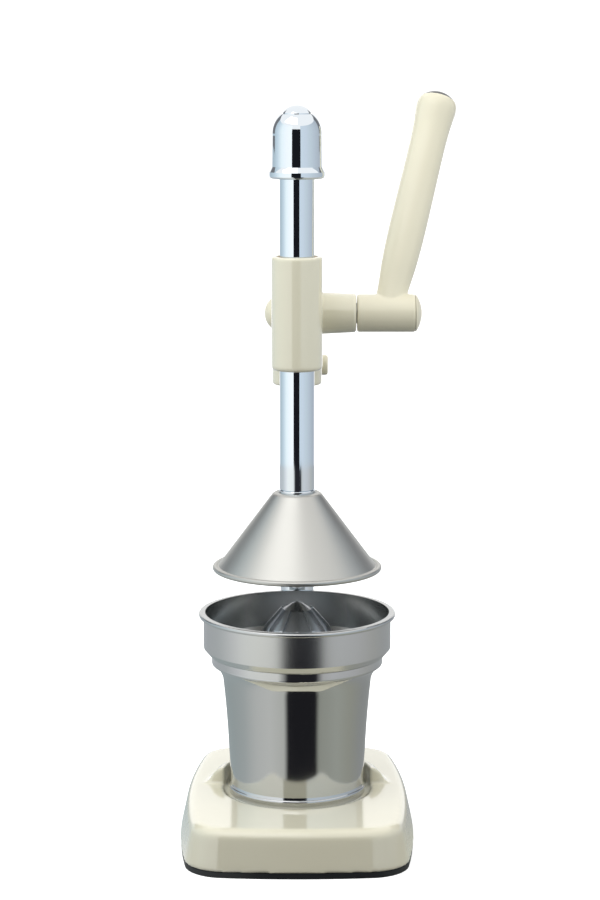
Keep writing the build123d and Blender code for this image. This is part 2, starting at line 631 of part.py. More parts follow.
# Ram: a chromed rod with a rack cut in its rear side and a threaded stud at each end
TOOTH_PITCH = pi * MODULE
RAM_TOP_STUD_END = CAP_TOP + 1.8
RAM_FOOT_STUD_END = CONE_UNDER_TOP - 11.5
with BuildPart() as ram:
    with BuildSketch(Plane.XZ):
        with BuildLine():
            Polyline(
                (0, RAM_FOOT_STUD_END),
                (RAM_FOOT_STUD_RADIUS - 0.8, RAM_FOOT_STUD_END),
                (RAM_FOOT_STUD_RADIUS, RAM_FOOT_STUD_END + 0.8),
                (RAM_FOOT_STUD_RADIUS, RAM_FOOT),
                (RAM_RADIUS - 0.4, RAM_FOOT),
                (RAM_RADIUS, RAM_FOOT + 0.4),
                (RAM_RADIUS, RAM_SHOULDER - 0.6),
                (RAM_RADIUS - 0.6, RAM_SHOULDER),
                (RAM_TOP_STUD_RADIUS, RAM_SHOULDER),
                (RAM_TOP_STUD_RADIUS, RAM_TOP_STUD_END - 0.6),
                (RAM_TOP_STUD_RADIUS - 0.6, RAM_TOP_STUD_END),
                (0, RAM_TOP_STUD_END),
                close=True,
            )
        make_face()
    revolve(axis=Axis.Z)
    # flat that the tips of the rack's teeth lie in
    rack_bottom = PINION_Z - (RACK_GAPS_BELOW + 1) * TOOTH_PITCH
    rack_top = PINION_Z + (RACK_GAPS_ABOVE + 1) * TOOTH_PITCH
    with BuildSketch(Plane.YZ):
        with Locations((RACK_TIP_Y + 5, (rack_bottom + rack_top) / 2)):
            Rectangle(10, rack_top - rack_bottom)
    extrude(amount=RAM_RADIUS + 1, both=True, mode=Mode.SUBTRACT)
    # gaps between the teeth, one of them level with the pinion's axis
    flank = tan(radians(PRESSURE_ANGLE))
    half_gap = TOOTH_PITCH / 4
    with BuildSketch(Plane.YZ):
        for gap in range(-RACK_GAPS_BELOW, RACK_GAPS_ABOVE + 1):
            middle = PINION_Z + gap * TOOTH_PITCH
            mouth = half_gap + flank * (RACK_TIP_Y + 2 - RACK_PITCH_Y)
            floor = half_gap - flank * (RACK_PITCH_Y - RACK_ROOT_Y)
            with BuildLine():
                Polyline(
                    (RACK_TIP_Y + 2, middle - mouth),
                    (RACK_ROOT_Y, middle - floor),
                    (RACK_ROOT_Y, middle + floor),
                    (RACK_TIP_Y + 2, middle + mouth),
                    close=True,
                )
            make_face()
    extrude(amount=RAM_RADIUS + 1, both=True, mode=Mode.SUBTRACT)
save(ram, "ram")

# Bell-shaped cap on top of the ram, hollow from below
CAP_SHOULDER = 9.0
CAP_NUT_NECK = 6.0
CAP_WEB_TOP = RAM_SHOULDER + 2.2
with BuildPart() as top_cap:
    with BuildSketch(Plane.XZ):
        with BuildLine():
            rim_top = CAP_BOTTOM + CAP_RIM_TALL
            trace(
                (RAM_RADIUS + 2.6, CAP_BOTTOM),
                ((CAP_RIM_RADIUS - 1.6, CAP_BOTTOM),),
                ((CAP_RIM_RADIUS - 0.45, CAP_BOTTOM + 0.5), (CAP_RIM_RADIUS, CAP_BOTTOM + 1.8)),
                ((CAP_RIM_RADIUS, rim_top - 1.8),),
                ((CAP_RADIUS + 0.75, rim_top - 0.2), (CAP_RADIUS + 0.1, rim_top + 1.2)),
                ((CAP_RADIUS - 0.15, CAP_TOP - CAP_SHOULDER - 3),),
                ((CAP_RADIUS - 1.6, CAP_TOP - 4.3), (CAP_NUT_RADIUS + 0.9, CAP_TOP)),
                ((CAP_NUT_NECK + 0.1, CAP_TOP),),
                ((CAP_NUT_NECK + 0.1, CAP_WEB_TOP),),
                ((RAM_TOP_STUD_RADIUS + 0.2, CAP_WEB_TOP),),
                ((RAM_TOP_STUD_RADIUS + 0.2, RAM_SHOULDER),),
                ((RAM_RADIUS + PRESS_GAP, RAM_SHOULDER),),
                ((RAM_RADIUS + PRESS_GAP, CAP_BOTTOM + 14),),
                ((RAM_RADIUS + 2.6, CAP_BOTTOM + 9),),
                ((RAM_RADIUS + 2.6, CAP_BOTTOM),),
            )
        make_face()
    revolve(axis=Axis.Z)
save(top_cap, "top_cap")

# Domed nut that holds the cap, with a threaded neck sunk in it
CAP_NUT_GROOVE = 0.5
CAP_DOME_TALL = CAP_NUT_TALL - CAP_NUT_GROOVE
CAP_NUT_SPHERE = (CAP_NUT_RADIUS**2 + CAP_DOME_TALL**2) / (2 * CAP_DOME_TALL)
with BuildPart() as cap_nut:
    with BuildSketch(Plane.XZ):
        with BuildLine():
            groove_top = CAP_TOP + CAP_NUT_GROOVE
            nut_half_angle = asin(CAP_NUT_RADIUS / CAP_NUT_SPHERE) / 2
            nut_bulge_z = CAP_TOP + CAP_NUT_TALL - CAP_NUT_SPHERE * (1 - cos(nut_half_angle))
            trace(
                (0, CAP_TOP + CAP_NUT_TALL),
                ((CAP_NUT_SPHERE * sin(nut_half_angle), nut_bulge_z), (CAP_NUT_RADIUS, groove_top)),
                ((CAP_NUT_RADIUS - CAP_NUT_GROOVE, groove_top),),
                ((CAP_NUT_RADIUS - CAP_NUT_GROOVE, CAP_TOP),),
                ((CAP_NUT_NECK, CAP_TOP),),
                ((CAP_NUT_NECK, CAP_WEB_TOP + 0.2),),
                ((RAM_TOP_STUD_RADIUS + PRESS_GAP, CAP_WEB_TOP + 0.2),),
                ((RAM_TOP_STUD_RADIUS + PRESS_GAP, RAM_TOP_STUD_END + 0.3),),
                ((0, RAM_TOP_STUD_END + 0.3),),
                ((0, CAP_TOP + CAP_NUT_TALL),),
            )
        make_face()
    revolve(axis=Axis.Z)
save(cap_nut, "cap_nut")

# Press cone: spun sheet with a rolled rim
with BuildPart() as press_cone:
    with BuildSketch(Plane.XZ):
        with BuildLine():
            bead_r = CONE_RIM_RADIUS - CONE_BEAD
            side_rise = CONE_TOP_Z - (CONE_RIM_Z + 1.2)
            side_run = bead_r - CONE_FLANGE - CONE_TOP_RADIUS
            side_long = hypot(side_rise, side_run)
            down_x = CONE_THICK * side_rise / side_long
            down_z = CONE_THICK * side_run / side_long
            trace(
                (RAM_FOOT_STUD_RADIUS + 0.1, CONE_TOP_Z),
                ((CONE_TOP_RADIUS - 1.6, CONE_TOP_Z),),
                ((CONE_TOP_RADIUS - 0.4, CONE_TOP_Z - 0.4), (CONE_TOP_RADIUS + 0.9, CONE_TOP_Z - 1.4)),
                ((bead_r - CONE_FLANGE, CONE_RIM_Z + 1.2),),
                ((bead_r, CONE_RIM_Z + 0.4),),
                ((bead_r, CONE_RIM_Z + 0.4 - CONE_THICK),),
                ((bead_r - CONE_FLANGE - down_x, CONE_RIM_Z + 1.2 - down_z),),
                ((CONE_TOP_RADIUS - down_x, CONE_UNDER_TOP - 0.5),),
                ((CONE_TOP_RADIUS - down_x - 1, CONE_UNDER_TOP),),
                ((RAM_FOOT_STUD_RADIUS + 0.1, CONE_UNDER_TOP),),
                ((RAM_FOOT_STUD_RADIUS + 0.1, CONE_TOP_Z),),
            )
        make_face()
        with Locations((bead_r, CONE_RIM_Z)):
            Circle(CONE_BEAD)
    revolve(axis=Axis.Z)
save(press_cone, "press_cone")

# Collar between the ram and the cone, then a washer and a nut under the cone
with BuildPart() as cone_collar:
    with BuildSketch(Plane.XY.offset(CONE_TOP_Z)):
        Circle(RAM_RADIUS + 0.5)
        Circle(RAM_FOOT_STUD_RADIUS + 0.1, mode=Mode.SUBTRACT)
    extrude(amount=COLLAR_TALL)
    top_circles = cone_collar.edges().filter_by(GeomType.CIRCLE).group_by(Axis.Z)[-1]
    chamfer(top_circles.sort_by(SortBy.RADIUS)[-1], 0.3)
save(cone_collar, "cone_collar")

CONE_WASHER_THICK = 1.5
CONE_WASHER_RADIUS = RAM_RADIUS + 0.5
with BuildPart() as backing_washer:
    with BuildSketch(Plane.XY.offset(CONE_UNDER_TOP - CONE_WASHER_THICK)):
        Circle(CONE_WASHER_RADIUS)
        Circle(RAM_FOOT_STUD_RADIUS + 0.1, mode=Mode.SUBTRACT)
    extrude(amount=CONE_WASHER_THICK)
save(backing_washer, "backing_washer")

CONE_NUT_TALL = 8.0
with BuildPart() as cone_nut:
    with BuildSketch(Plane.XY.offset(CONE_UNDER_TOP - CONE_WASHER_THICK - CONE_NUT_TALL)):
        RegularPolygon(CONE_NUT_FLATS / 2, 6, major_radius=False)
        Circle(RAM_FOOT_STUD_RADIUS + PRESS_GAP, mode=Mode.SUBTRACT)
    extrude(amount=CONE_NUT_TALL)
save(cone_nut, "cone_nut")

# ================================================================ lever

# Shaft: round in its bushes, with two flats inside the lever's hub
KEY_SIZE = 4.0
KEY_DEPTH = 2.4
CIRCLIP_X = -CHEEK_HALF_WIDTH - 1.3
CIRCLIP_SEAT = SHAFT_RADIUS - 0.6
CIRCLIP_THICK = 1.0
with BuildPart() as pinion_shaft:
    with BuildSketch(across(SHAFT_LEFT)):
        Circle(SHAFT_RADIUS)
    extrude(amount=SHAFT_RIGHT - SHAFT_LEFT)
    chamfer(pinion_shaft.edges().filter_by(GeomType.CIRCLE), 0.5)
    with BuildSketch(across(HUB_LEFT + 1)):
        with Locations((0, SHAFT_FLATS / 2 + 3), (0, -SHAFT_FLATS / 2 - 3)):
            Rectangle(2 * SHAFT_RADIUS + 2, 6)
    extrude(amount=SHAFT_RIGHT - HUB_LEFT, mode=Mode.SUBTRACT)
    with BuildSketch(across(SHAFT_RIGHT - HUB_SCREW_DEPTH - 1)):
        Circle(HUB_SCREW_RADIUS + PRESS_GAP)
    extrude(amount=HUB_SCREW_DEPTH + 2, mode=Mode.SUBTRACT)
    with BuildSketch(across(-PINION_WIDTH / 2)):
        with Locations((0, SHAFT_RADIUS - KEY_DEPTH / 2 + 1)):
            Rectangle(KEY_SIZE + 2 * PRESS_GAP, KEY_DEPTH + 2)
    extrude(amount=PINION_WIDTH, mode=Mode.SUBTRACT)
    with BuildSketch(across(CIRCLIP_X)):
        Circle(SHAFT_RADIUS + 1)
        Circle(CIRCLIP_SEAT, mode=Mode.SUBTRACT)
    extrude(amount=CIRCLIP_THICK + 0.1, mode=Mode.SUBTRACT)
save(pinion_shaft, "pinion_shaft")


def involute(radius):
    """How far an involute flank has turned at this radius, in radians."""
    unrolled = acos(min(1.0, PINION_BASE_RADIUS / radius))
    return tan(unrolled) - unrolled


def pinion_point(radius, angle):
    """A point on the pinion; angle 0 looks at the rack."""
    return (-radius * cos(angle), radius * sin(angle))


# Pinion: involute teeth, one of them pointing straight at the rack
with BuildPart() as pinion:
    with BuildSketch(across(-PINION_WIDTH / 2)):
        Circle(PINION_ROOT_RADIUS)
        half_tooth = pi / (2 * PINION_TEETH) - TOOTH_BACKLASH / (2 * PINION_PITCH_RADIUS)
        base_half = half_tooth + involute(PINION_PITCH_RADIUS)
        flank_step = (PINION_TIP_RADIUS - PINION_BASE_RADIUS) / 3
        flank_radii = [PINION_BASE_RADIUS + flank_step * i for i in range(4)]
        for tooth in range(PINION_TEETH):
            centre = 2 * pi * tooth / PINION_TEETH
            left = [pinion_point(r, centre - base_half + involute(r)) for r in flank_radii]
            right = [pinion_point(r, centre + base_half - involute(r)) for r in flank_radii]
            left_root = pinion_point(PINION_ROOT_RADIUS - 0.5, centre - base_half)
            right_root = pinion_point(PINION_ROOT_RADIUS - 0.5, centre + base_half)
            with BuildLine():
                Line(left_root, left[0])
                Spline(*left)
                Line(left[-1], right[-1])
                Spline(*reversed(right))
                Line(right[0], right_root)
                Line(right_root, left_root)
            make_face()
        Circle(SHAFT_RADIUS + PRESS_GAP, mode=Mode.SUBTRACT)
        with Locations((0, SHAFT_RADIUS + 0.4)):
            Rectangle(KEY_SIZE + 2 * PRESS_GAP, 3.6, mode=Mode.SUBTRACT)
    extrude(amount=PINION_WIDTH)
save(pinion, "pinion")

# Key between the shaft and the pinion
with BuildPart() as pinion_key:
    with BuildSketch(across(-PINION_WIDTH / 2 + 0.2)):
        with Locations((0, SHAFT_RADIUS - KEY_DEPTH + KEY_SIZE / 2 + 0.05)):
            Rectangle(KEY_SIZE, KEY_SIZE)
    extrude(amount=PINION_WIDTH - 0.4)
save(pinion_key, "pinion_key")

# Circlip in the groove at the shaft's left end
with BuildPart() as circlip:
    with BuildSketch(across(CIRCLIP_X + 0.05)):
        Circle(SHAFT_RADIUS + 0.9)
        Circle(CIRCLIP_SEAT + RUNNING_GAP, mode=Mode.SUBTRACT)
        with Locations((0, -SHAFT_RADIUS)):
            Rectangle(2.5, 4, mode=Mode.SUBTRACT)
    extrude(amount=CIRCLIP_THICK)
save(circlip, "circlip")

# Handle: the hub and the tapering grip, moulded in one piece
GRIP_SECTIONS = [
    (2.0, 17.0),
    (14.6, 17.9),
    (30.0, 20.4),
    (48.5, 21.6),
    (74.0, 21.5),
    (92.0, 21.2),
    (106.0, 21.2),
    (116.0, 21.8),
    (122.5, 22.8),
    (127.5, 23.6),
    (130.5, 23.5),
    (133.0, 22.4),
]
GRIP_END_WIDTH = 2 * PLUG_RADIUS + 0.3
GRIP_END = LEVER_LONG - PLUG_TALL
CORE_START = SHAFT_RADIUS + 4.7
PLUG_SPIGOT = 8.0
with BuildPart() as lever_handle:
    for reach, width in GRIP_SECTIONS + [(GRIP_END, GRIP_END_WIDTH)]:
        with BuildSketch(lever_plane(reach)):
            Ellipse(width / 2, width / 2 * GRIP_DEPTH_RATIO)
    loft()
    with BuildSketch(across(HUB_LEFT)):
        Circle(HUB_RADIUS)
    extrude(amount=HUB_RIGHT - HUB_LEFT)
    # bore with two flats, room for the screw's washer, and the seat of the hub cap
    with BuildSketch(across(HUB_LEFT - 1)):
        Circle(SHAFT_RADIUS + PRESS_GAP)
    extrude(amount=2.0 + RUNNING_GAP, mode=Mode.SUBTRACT)
    with BuildSketch(across(HUB_LEFT + 1)):
        Circle(SHAFT_RADIUS + PRESS_GAP)
        Rectangle(2 * SHAFT_RADIUS + 2, SHAFT_FLATS + 2 * PRESS_GAP, mode=Mode.INTERSECT)
    extrude(amount=HUB_SHOULDER - HUB_LEFT - 1, mode=Mode.SUBTRACT)
    with BuildSketch(across(HUB_SHOULDER)):
        Circle(HUB_SEAT_RADIUS + 0.1)
    extrude(amount=20, mode=Mode.SUBTRACT)
    # hole for the steel core and the end plug
    with BuildSketch(lever_plane(CORE_START - 0.2)):
        Circle(LEVER_CORE_RADIUS + PRESS_GAP)
    extrude(amount=GRIP_END, mode=Mode.SUBTRACT)
    with BuildSketch(lever_plane(GRIP_END - PLUG_SPIGOT - 1)):
        Circle(PLUG_SPIGOT_RADIUS + PRESS_GAP)
    extrude(amount=PLUG_SPIGOT + 4, mode=Mode.SUBTRACT)
save(lever_handle, "lever_handle")

# Steel core inside the grip
with BuildPart() as lever_core:
    with BuildSketch(lever_plane(CORE_START)):
        Circle(LEVER_CORE_RADIUS)
    extrude(amount=GRIP_END - PLUG_SPIGOT - 2 - CORE_START)
save(lever_core, "lever_core")

# Domed end plug, with a spigot in the grip
PLUG_SPHERE = (PLUG_RADIUS**2 + PLUG_TALL**2) / (2 * PLUG_TALL)
grip_end = lever_plane(GRIP_END)
with BuildPart() as grip_plug:
    with BuildSketch(Plane(origin=grip_end.origin, x_dir=grip_end.x_dir, z_dir=-grip_end.y_dir)):
        with BuildLine():
            plug_half_angle = asin(PLUG_RADIUS / PLUG_SPHERE) / 2
            plug_bulge_tall = PLUG_TALL - PLUG_SPHERE * (1 - cos(plug_half_angle))
            trace(
                (0, -PLUG_SPIGOT),
                ((PLUG_SPIGOT_RADIUS, -PLUG_SPIGOT),),
                ((PLUG_SPIGOT_RADIUS, 0),),
                ((PLUG_RADIUS, 0),),
                ((PLUG_SPHERE * sin(plug_half_angle), plug_bulge_tall), (0, PLUG_TALL)),
                ((0, -PLUG_SPIGOT),),
            )
        make_face()
    revolve(axis=Axis(grip_end.origin, LEVER_AXIS))
save(grip_plug, "grip_plug")

# Screw and washer that hold the handle on the shaft, and the domed cap over them
HUB_WASHER_THICK = 1.2
HUB_SCREW_HEAD_TALL = 3.0
HUB_SCREW_SEAT = HUB_SHOULDER + HUB_WASHER_THICK
with BuildPart() as hub_washer:
    with BuildSketch(across(HUB_SHOULDER)):
        Circle(HUB_SEAT_RADIUS - 0.3)
        Circle(HUB_SCREW_RADIUS + 0.2, mode=Mode.SUBTRACT)
    extrude(amount=HUB_WASHER_THICK)
save(hub_washer, "hub_washer")

with BuildPart() as hub_screw:
    with BuildSketch(across(SHAFT_RIGHT - HUB_SCREW_DEPTH)):
        Circle(HUB_SCREW_RADIUS)
    extrude(amount=HUB_SCREW_SEAT - SHAFT_RIGHT + HUB_SCREW_DEPTH)
    with BuildSketch(across(HUB_SCREW_SEAT)):
        Circle(4.6)
    extrude(amount=HUB_SCREW_HEAD_TALL)
    with BuildSketch(across(HUB_SCREW_SEAT + 0.4 * HUB_SCREW_HEAD_TALL)):
        Rectangle(5.2, 1.0)
        Rectangle(1.0, 5.2)
    extrude(amount=HUB_SCREW_HEAD_TALL, mode=Mode.SUBTRACT)
save(hub_screw, "hub_screw")

HUB_CAP_SPHERE = (HUB_RADIUS**2 + HUB_CAP_TALL**2) / (2 * HUB_CAP_TALL)
with BuildPart() as hub_cap:
    with BuildSketch(Plane.XY.offset(PINION_Z)):
        with BuildLine():
            cap_face_x = HUB_RIGHT + 0.05
            cap_apex_x = cap_face_x + HUB_CAP_TALL
            hub_bulge = asin((HUB_RADIUS - 0.3) / HUB_CAP_SPHERE) / 2
            hub_bulge_x = cap_apex_x - HUB_CAP_SPHERE * (1 - cos(hub_bulge))
            hub_bulge_r = HUB_CAP_SPHERE * sin(hub_bulge)
            trace(
                (cap_apex_x, PINION_Y),
                ((hub_bulge_x, PINION_Y + hub_bulge_r), (cap_face_x + 0.4, PINION_Y + HUB_RADIUS - 0.3)),
                ((cap_face_x, PINION_Y + HUB_RADIUS - 0.3),),
                ((cap_face_x, PINION_Y + HUB_SEAT_RADIUS),),
                ((HUB_CAP_SEAT, PINION_Y + HUB_SEAT_RADIUS),),
                ((HUB_CAP_SEAT, PINION_Y + HUB_SEAT_RADIUS - 1.2),),
                ((cap_face_x, PINION_Y + HUB_SEAT_RADIUS - 1.2),),
                ((cap_face_x, PINION_Y),),
                ((cap_apex_x, PINION_Y),),
            )
        make_face()
    revolve(axis=Axis((0, PINION_Y, PINION_Z), (1, 0, 0)))
save(hub_cap, "hub_cap")

# ================================================================ cup

# Juice cup: drawn sheet, with a beaded foot, a slightly flaring wall and a stepped lip
CUP_BEAD_Z = POCKET_FLOOR + 4.1
CUP_BEAD_HALF = 1.2
with BuildPart() as juice_cup:
    with BuildSketch(Plane.XZ):
        with BuildLine():
            inner_lip = CUP_LIP_RADIUS - CUP_WALL
            inner_neck = CUP_NECK_RADIUS - CUP_WALL
            inner_foot = CUP_FOOT_RADIUS - CUP_WALL
            wall_mid_z = (CUP_NECK_Z + CUP_BEAD_Z + 2.6) / 2
            wall_mid_r = (CUP_NECK_RADIUS + CUP_FOOT_RADIUS) / 2 - 0.75
            flare_mid = (CUP_NECK_RADIUS + 2.3, CUP_NECK_Z + 7.0)
            trace(
                (0, POCKET_FLOOR + 0.8),
                ((CUP_FOOT_RADIUS - 6, POCKET_FLOOR + 0.8),),
                ((CUP_FOOT_RADIUS - 4, POCKET_FLOOR),),
                ((CUP_FOOT_RADIUS + 0.4, POCKET_FLOOR),),
                ((CUP_BEAD_RADIUS - 0.8, CUP_BEAD_Z - CUP_BEAD_HALF),),
                ((CUP_BEAD_RADIUS, CUP_BEAD_Z), (CUP_BEAD_RADIUS - 0.8, CUP_BEAD_Z + CUP_BEAD_HALF)),
                ((CUP_FOOT_RADIUS, CUP_BEAD_Z + 2.6),),
                ((wall_mid_r, wall_mid_z), (CUP_NECK_RADIUS, CUP_NECK_Z)),
                (flare_mid, (CUP_LIP_RADIUS - 1.2, CUP_LIP_BOTTOM - 0.2)),
                ((CUP_LIP_RADIUS - 0.25, CUP_LIP_BOTTOM + 0.2), (CUP_LIP_RADIUS, CUP_LIP_BOTTOM + 1.2)),
                ((CUP_LIP_RADIUS, CUP_LIP_TOP - 0.6),),
                ((CUP_LIP_RADIUS - 0.6, CUP_LIP_TOP), (inner_lip, CUP_LIP_TOP - 0.6)),
                ((inner_lip, CUP_LIP_BOTTOM + 1.2),),
                ((flare_mid[0] - 1.0, flare_mid[1] + 0.75), (inner_neck, CUP_NECK_Z + 0.4)),
                ((wall_mid_r - CUP_WALL, wall_mid_z), (inner_foot, CUP_BEAD_Z + 2.6)),
                ((inner_foot - 0.6, CUP_FLOOR + 3.0),),
                ((inner_foot - 1.5, CUP_FLOOR + 1.5), (inner_foot - 3.4, CUP_FLOOR + 0.8)),
                ((0, CUP_FLOOR + 0.8),),
                ((0, POCKET_FLOOR + 0.8),),
            )
        make_face()
    revolve(axis=Axis.Z)
save(juice_cup, "juice_cup")

# ================================================================ strainer bowl

# Bowl: a bevelled bottom edge and a spigot that drops into the cup's lip, with a straight wall above
PLATE_HOLE_EDGE = BOWL_SPIGOT_RADIUS - PLATE_SHELF
BOWL_INNER = BOWL_RADIUS - BOWL_WALL
with BuildPart() as strainer_bowl:
    with BuildSketch(Plane.XZ):
        with BuildLine():
            spigot_inner = BOWL_SPIGOT_RADIUS - BOWL_WALL
            Polyline(
                (BOWL_RADIUS, BOWL_KNEE_Z),
                (BOWL_SEAT_RADIUS, BOWL_SEAT_Z + 0.7),
                (BOWL_SEAT_RADIUS - 0.7, BOWL_SEAT_Z),
                (BOWL_SPIGOT_RADIUS, BOWL_SEAT_Z),
                (BOWL_SPIGOT_RADIUS, BOWL_FLOOR_Z + 0.5),
                (BOWL_SPIGOT_RADIUS - 0.5, BOWL_FLOOR_Z),
                (PLATE_HOLE_EDGE, BOWL_FLOOR_Z),
                (PLATE_HOLE_EDGE, BOWL_FLOOR_Z + BOWL_WALL),
                (spigot_inner, BOWL_FLOOR_Z + BOWL_WALL),
                (spigot_inner, BOWL_SEAT_Z + BOWL_WALL),
                (BOWL_SEAT_RADIUS - 1.0, BOWL_SEAT_Z + BOWL_WALL),
                (BOWL_INNER, BOWL_KNEE_Z),
                close=True,
            )
        make_face()
    revolve(axis=Axis.Z)
save(strainer_bowl, "strainer_bowl")

# The bowl's straight wall and its rolled rim
BOWL_BEAD_RADIUS = BOWL_RADIUS + BOWL_BEAD + 0.15
with BuildPart() as bowl_wall:
    with BuildSketch(Plane.XZ):
        with Locations(((BOWL_INNER + BOWL_RADIUS) / 2, (BOWL_KNEE_Z + BOWL_BEAD_Z) / 2)):
            Rectangle(BOWL_WALL, BOWL_BEAD_Z - BOWL_KNEE_Z)
        with Locations((BOWL_BEAD_RADIUS, BOWL_BEAD_Z)):
            Circle(BOWL_BEAD)
        with Locations(((BOWL_INNER + BOWL_BEAD_RADIUS) / 2, BOWL_BEAD_Z + BOWL_BEAD / 4)):
            Rectangle(BOWL_BEAD_RADIUS - BOWL_INNER, 1.5 * BOWL_BEAD)
    revolve(axis=Axis.Z)
save(bowl_wall, "bowl_wall")

# Perforated plate on the bowl's floor
PLATE_RADIUS = BOWL_SPIGOT_RADIUS - BOWL_WALL - LOOSE_GAP
HOLE_RINGS = [(30.0, 24), (34.6, 28), (39.2, 32)]
with BuildPart() as strainer_plate:
    with BuildSketch(Plane.XY.offset(PLATE_Z)):
        Circle(PLATE_RADIUS)
        for ring_radius, count in HOLE_RINGS:
            with PolarLocations(ring_radius, count):
                Circle(PLATE_HOLE_RADIUS, mode=Mode.SUBTRACT)
        Circle(2.2, mode=Mode.SUBTRACT)
    extrude(amount=PLATE_THICK)
save(strainer_plate, "strainer_plate")

# Ribbed reamer that stands on the plate
REAMER_TIP_RADIUS = 3.0
with BuildPart() as reamer:
    with BuildSketch(Plane.XZ):
        with BuildLine():
            tip_z = REAMER_Z + REAMER_TALL
            Polyline(
                (0, REAMER_Z),
                (REAMER_RADIUS, REAMER_Z),
                (REAMER_RADIUS, REAMER_Z + 2.5),
                (REAMER_RADIUS * 0.68, REAMER_Z + REAMER_TALL * 0.55),
                (REAMER_RADIUS * 0.34, REAMER_Z + REAMER_TALL * 0.86),
                (REAMER_TIP_RADIUS, tip_z - 0.9),
                (0, tip_z),
                close=True,
            )
        make_face()
    revolve(axis=Axis.Z)
    for rib in range(REAMER_RIBS):
        turn = 2 * pi * rib / REAMER_RIBS
        outward = (cos(turn), sin(turn), 0)
        with BuildSketch(Plane(origin=(0, 0, 0), x_dir=outward, z_dir=(sin(turn), -cos(turn), 0))):
            with BuildLine():
                Polyline(
                    (REAMER_RADIUS * 0.3, REAMER_Z + 1.0),
                    (REAMER_RADIUS - 0.2, REAMER_Z + 1.0),
                    (REAMER_RADIUS + 0.9, REAMER_Z + 4.0),
                    (REAMER_RADIUS * 0.68 + 1.5, REAMER_Z + REAMER_TALL * 0.55 + 1.0),
                    (REAMER_RADIUS * 0.34 + 1.0, REAMER_Z + REAMER_TALL * 0.86 + 1.0),
                    (REAMER_RADIUS * 0.3, REAMER_Z + REAMER_TALL * 0.86),
                    close=True,
                )
            make_face()
        extrude(amount=0.9, both=True)
    with BuildSketch(Plane.XY.offset(REAMER_Z)):
        Circle(2.0 + PRESS_GAP)
    extrude(amount=12, mode=Mode.SUBTRACT)
save(reamer, "reamer")

# Screw from below that holds the reamer to the plate
with BuildPart() as reamer_screw:
    with BuildSketch(Plane.XY.offset(PLATE_Z - 2.0)):
        Circle(4.0)
    extrude(amount=2.0)
    with BuildSketch(Plane.XY.offset(PLATE_Z)):
        Circle(2.0)
    extrude(amount=PLATE_THICK + 10)
    with BuildSketch(Plane.XY.offset(PLATE_Z - 2.0)):
        Rectangle(5.0, 0.9)
    extrude(amount=1.0, mode=Mode.SUBTRACT)
save(reamer_screw, "reamer_screw")
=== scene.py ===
# %% [markdown]
# # A hand citrus press, from its frame to its finishes
#
# The press is already designed: every casting, shaft and bush exists as a plain solid, and each solid rides
# on the body that moves it. This lesson adds what the eye wants: turned metal with crisp edges, castings
# with soft corners, and finishes that behave like chrome, stainless steel, enamel and moulded plastic.
#
# We load that frame first.

# %% Load the frame
import json
from math import atan2, cos, pi, radians, sin

import bmesh
import bpy
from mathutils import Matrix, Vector


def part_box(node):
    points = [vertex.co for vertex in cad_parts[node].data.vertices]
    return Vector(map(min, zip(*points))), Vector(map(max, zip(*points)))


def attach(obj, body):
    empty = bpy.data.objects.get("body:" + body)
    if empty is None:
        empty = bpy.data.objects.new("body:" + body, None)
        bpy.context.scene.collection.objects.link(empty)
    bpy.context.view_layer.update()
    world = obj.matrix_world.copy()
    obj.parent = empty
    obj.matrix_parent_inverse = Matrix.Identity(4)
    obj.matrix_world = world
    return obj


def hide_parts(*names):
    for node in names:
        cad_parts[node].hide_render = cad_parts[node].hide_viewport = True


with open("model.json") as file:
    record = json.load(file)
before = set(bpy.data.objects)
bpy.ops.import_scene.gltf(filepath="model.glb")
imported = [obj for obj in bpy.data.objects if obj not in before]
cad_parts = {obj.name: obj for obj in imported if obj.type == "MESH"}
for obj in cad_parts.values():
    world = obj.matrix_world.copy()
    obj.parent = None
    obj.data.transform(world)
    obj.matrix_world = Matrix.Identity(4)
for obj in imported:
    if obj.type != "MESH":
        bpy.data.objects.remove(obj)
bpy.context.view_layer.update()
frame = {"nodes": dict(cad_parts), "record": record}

MM = 0.001

# %% [markdown]
# ## The places that everything else is measured from
#
# Nothing here is typed in twice. The ram stands on the origin, so its axis is the z axis. The lever turns
# about its own hinge, and the frame tells us where that hinge is.

# %% Axes of the ram and the lever
hinges = {joint["name"]: joint for joint in frame["record"]["behaviour"]["joints"]}
LEVER_PIVOT = Vector(hinges["lever_turn"]["pos_m"])
X_AXIS = Vector((1, 0, 0))
Z_AXIS = Vector((0, 0, 1))
ORIGIN = Vector((0, 0, 0))


def low(node):
    """Lowest corner of a node, in metres."""
    return Vector(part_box(node)[0])


print("lever pivot", tuple(round(v, 4) for v in LEVER_PIVOT))

# %% [markdown]
# ## Small tools
#
# Most of this object was made on a lathe, a spinning machine or in a sand mould, so three tools go a long
# way: one that rounds the corners of an outline, one that turns an outline about an axis, and one that
# softens a casting.
#
# A real edge is never perfectly sharp. Rounding each corner of the outline by a few tenths of a millimetre
# gives the thin bright line that makes metal look like metal.


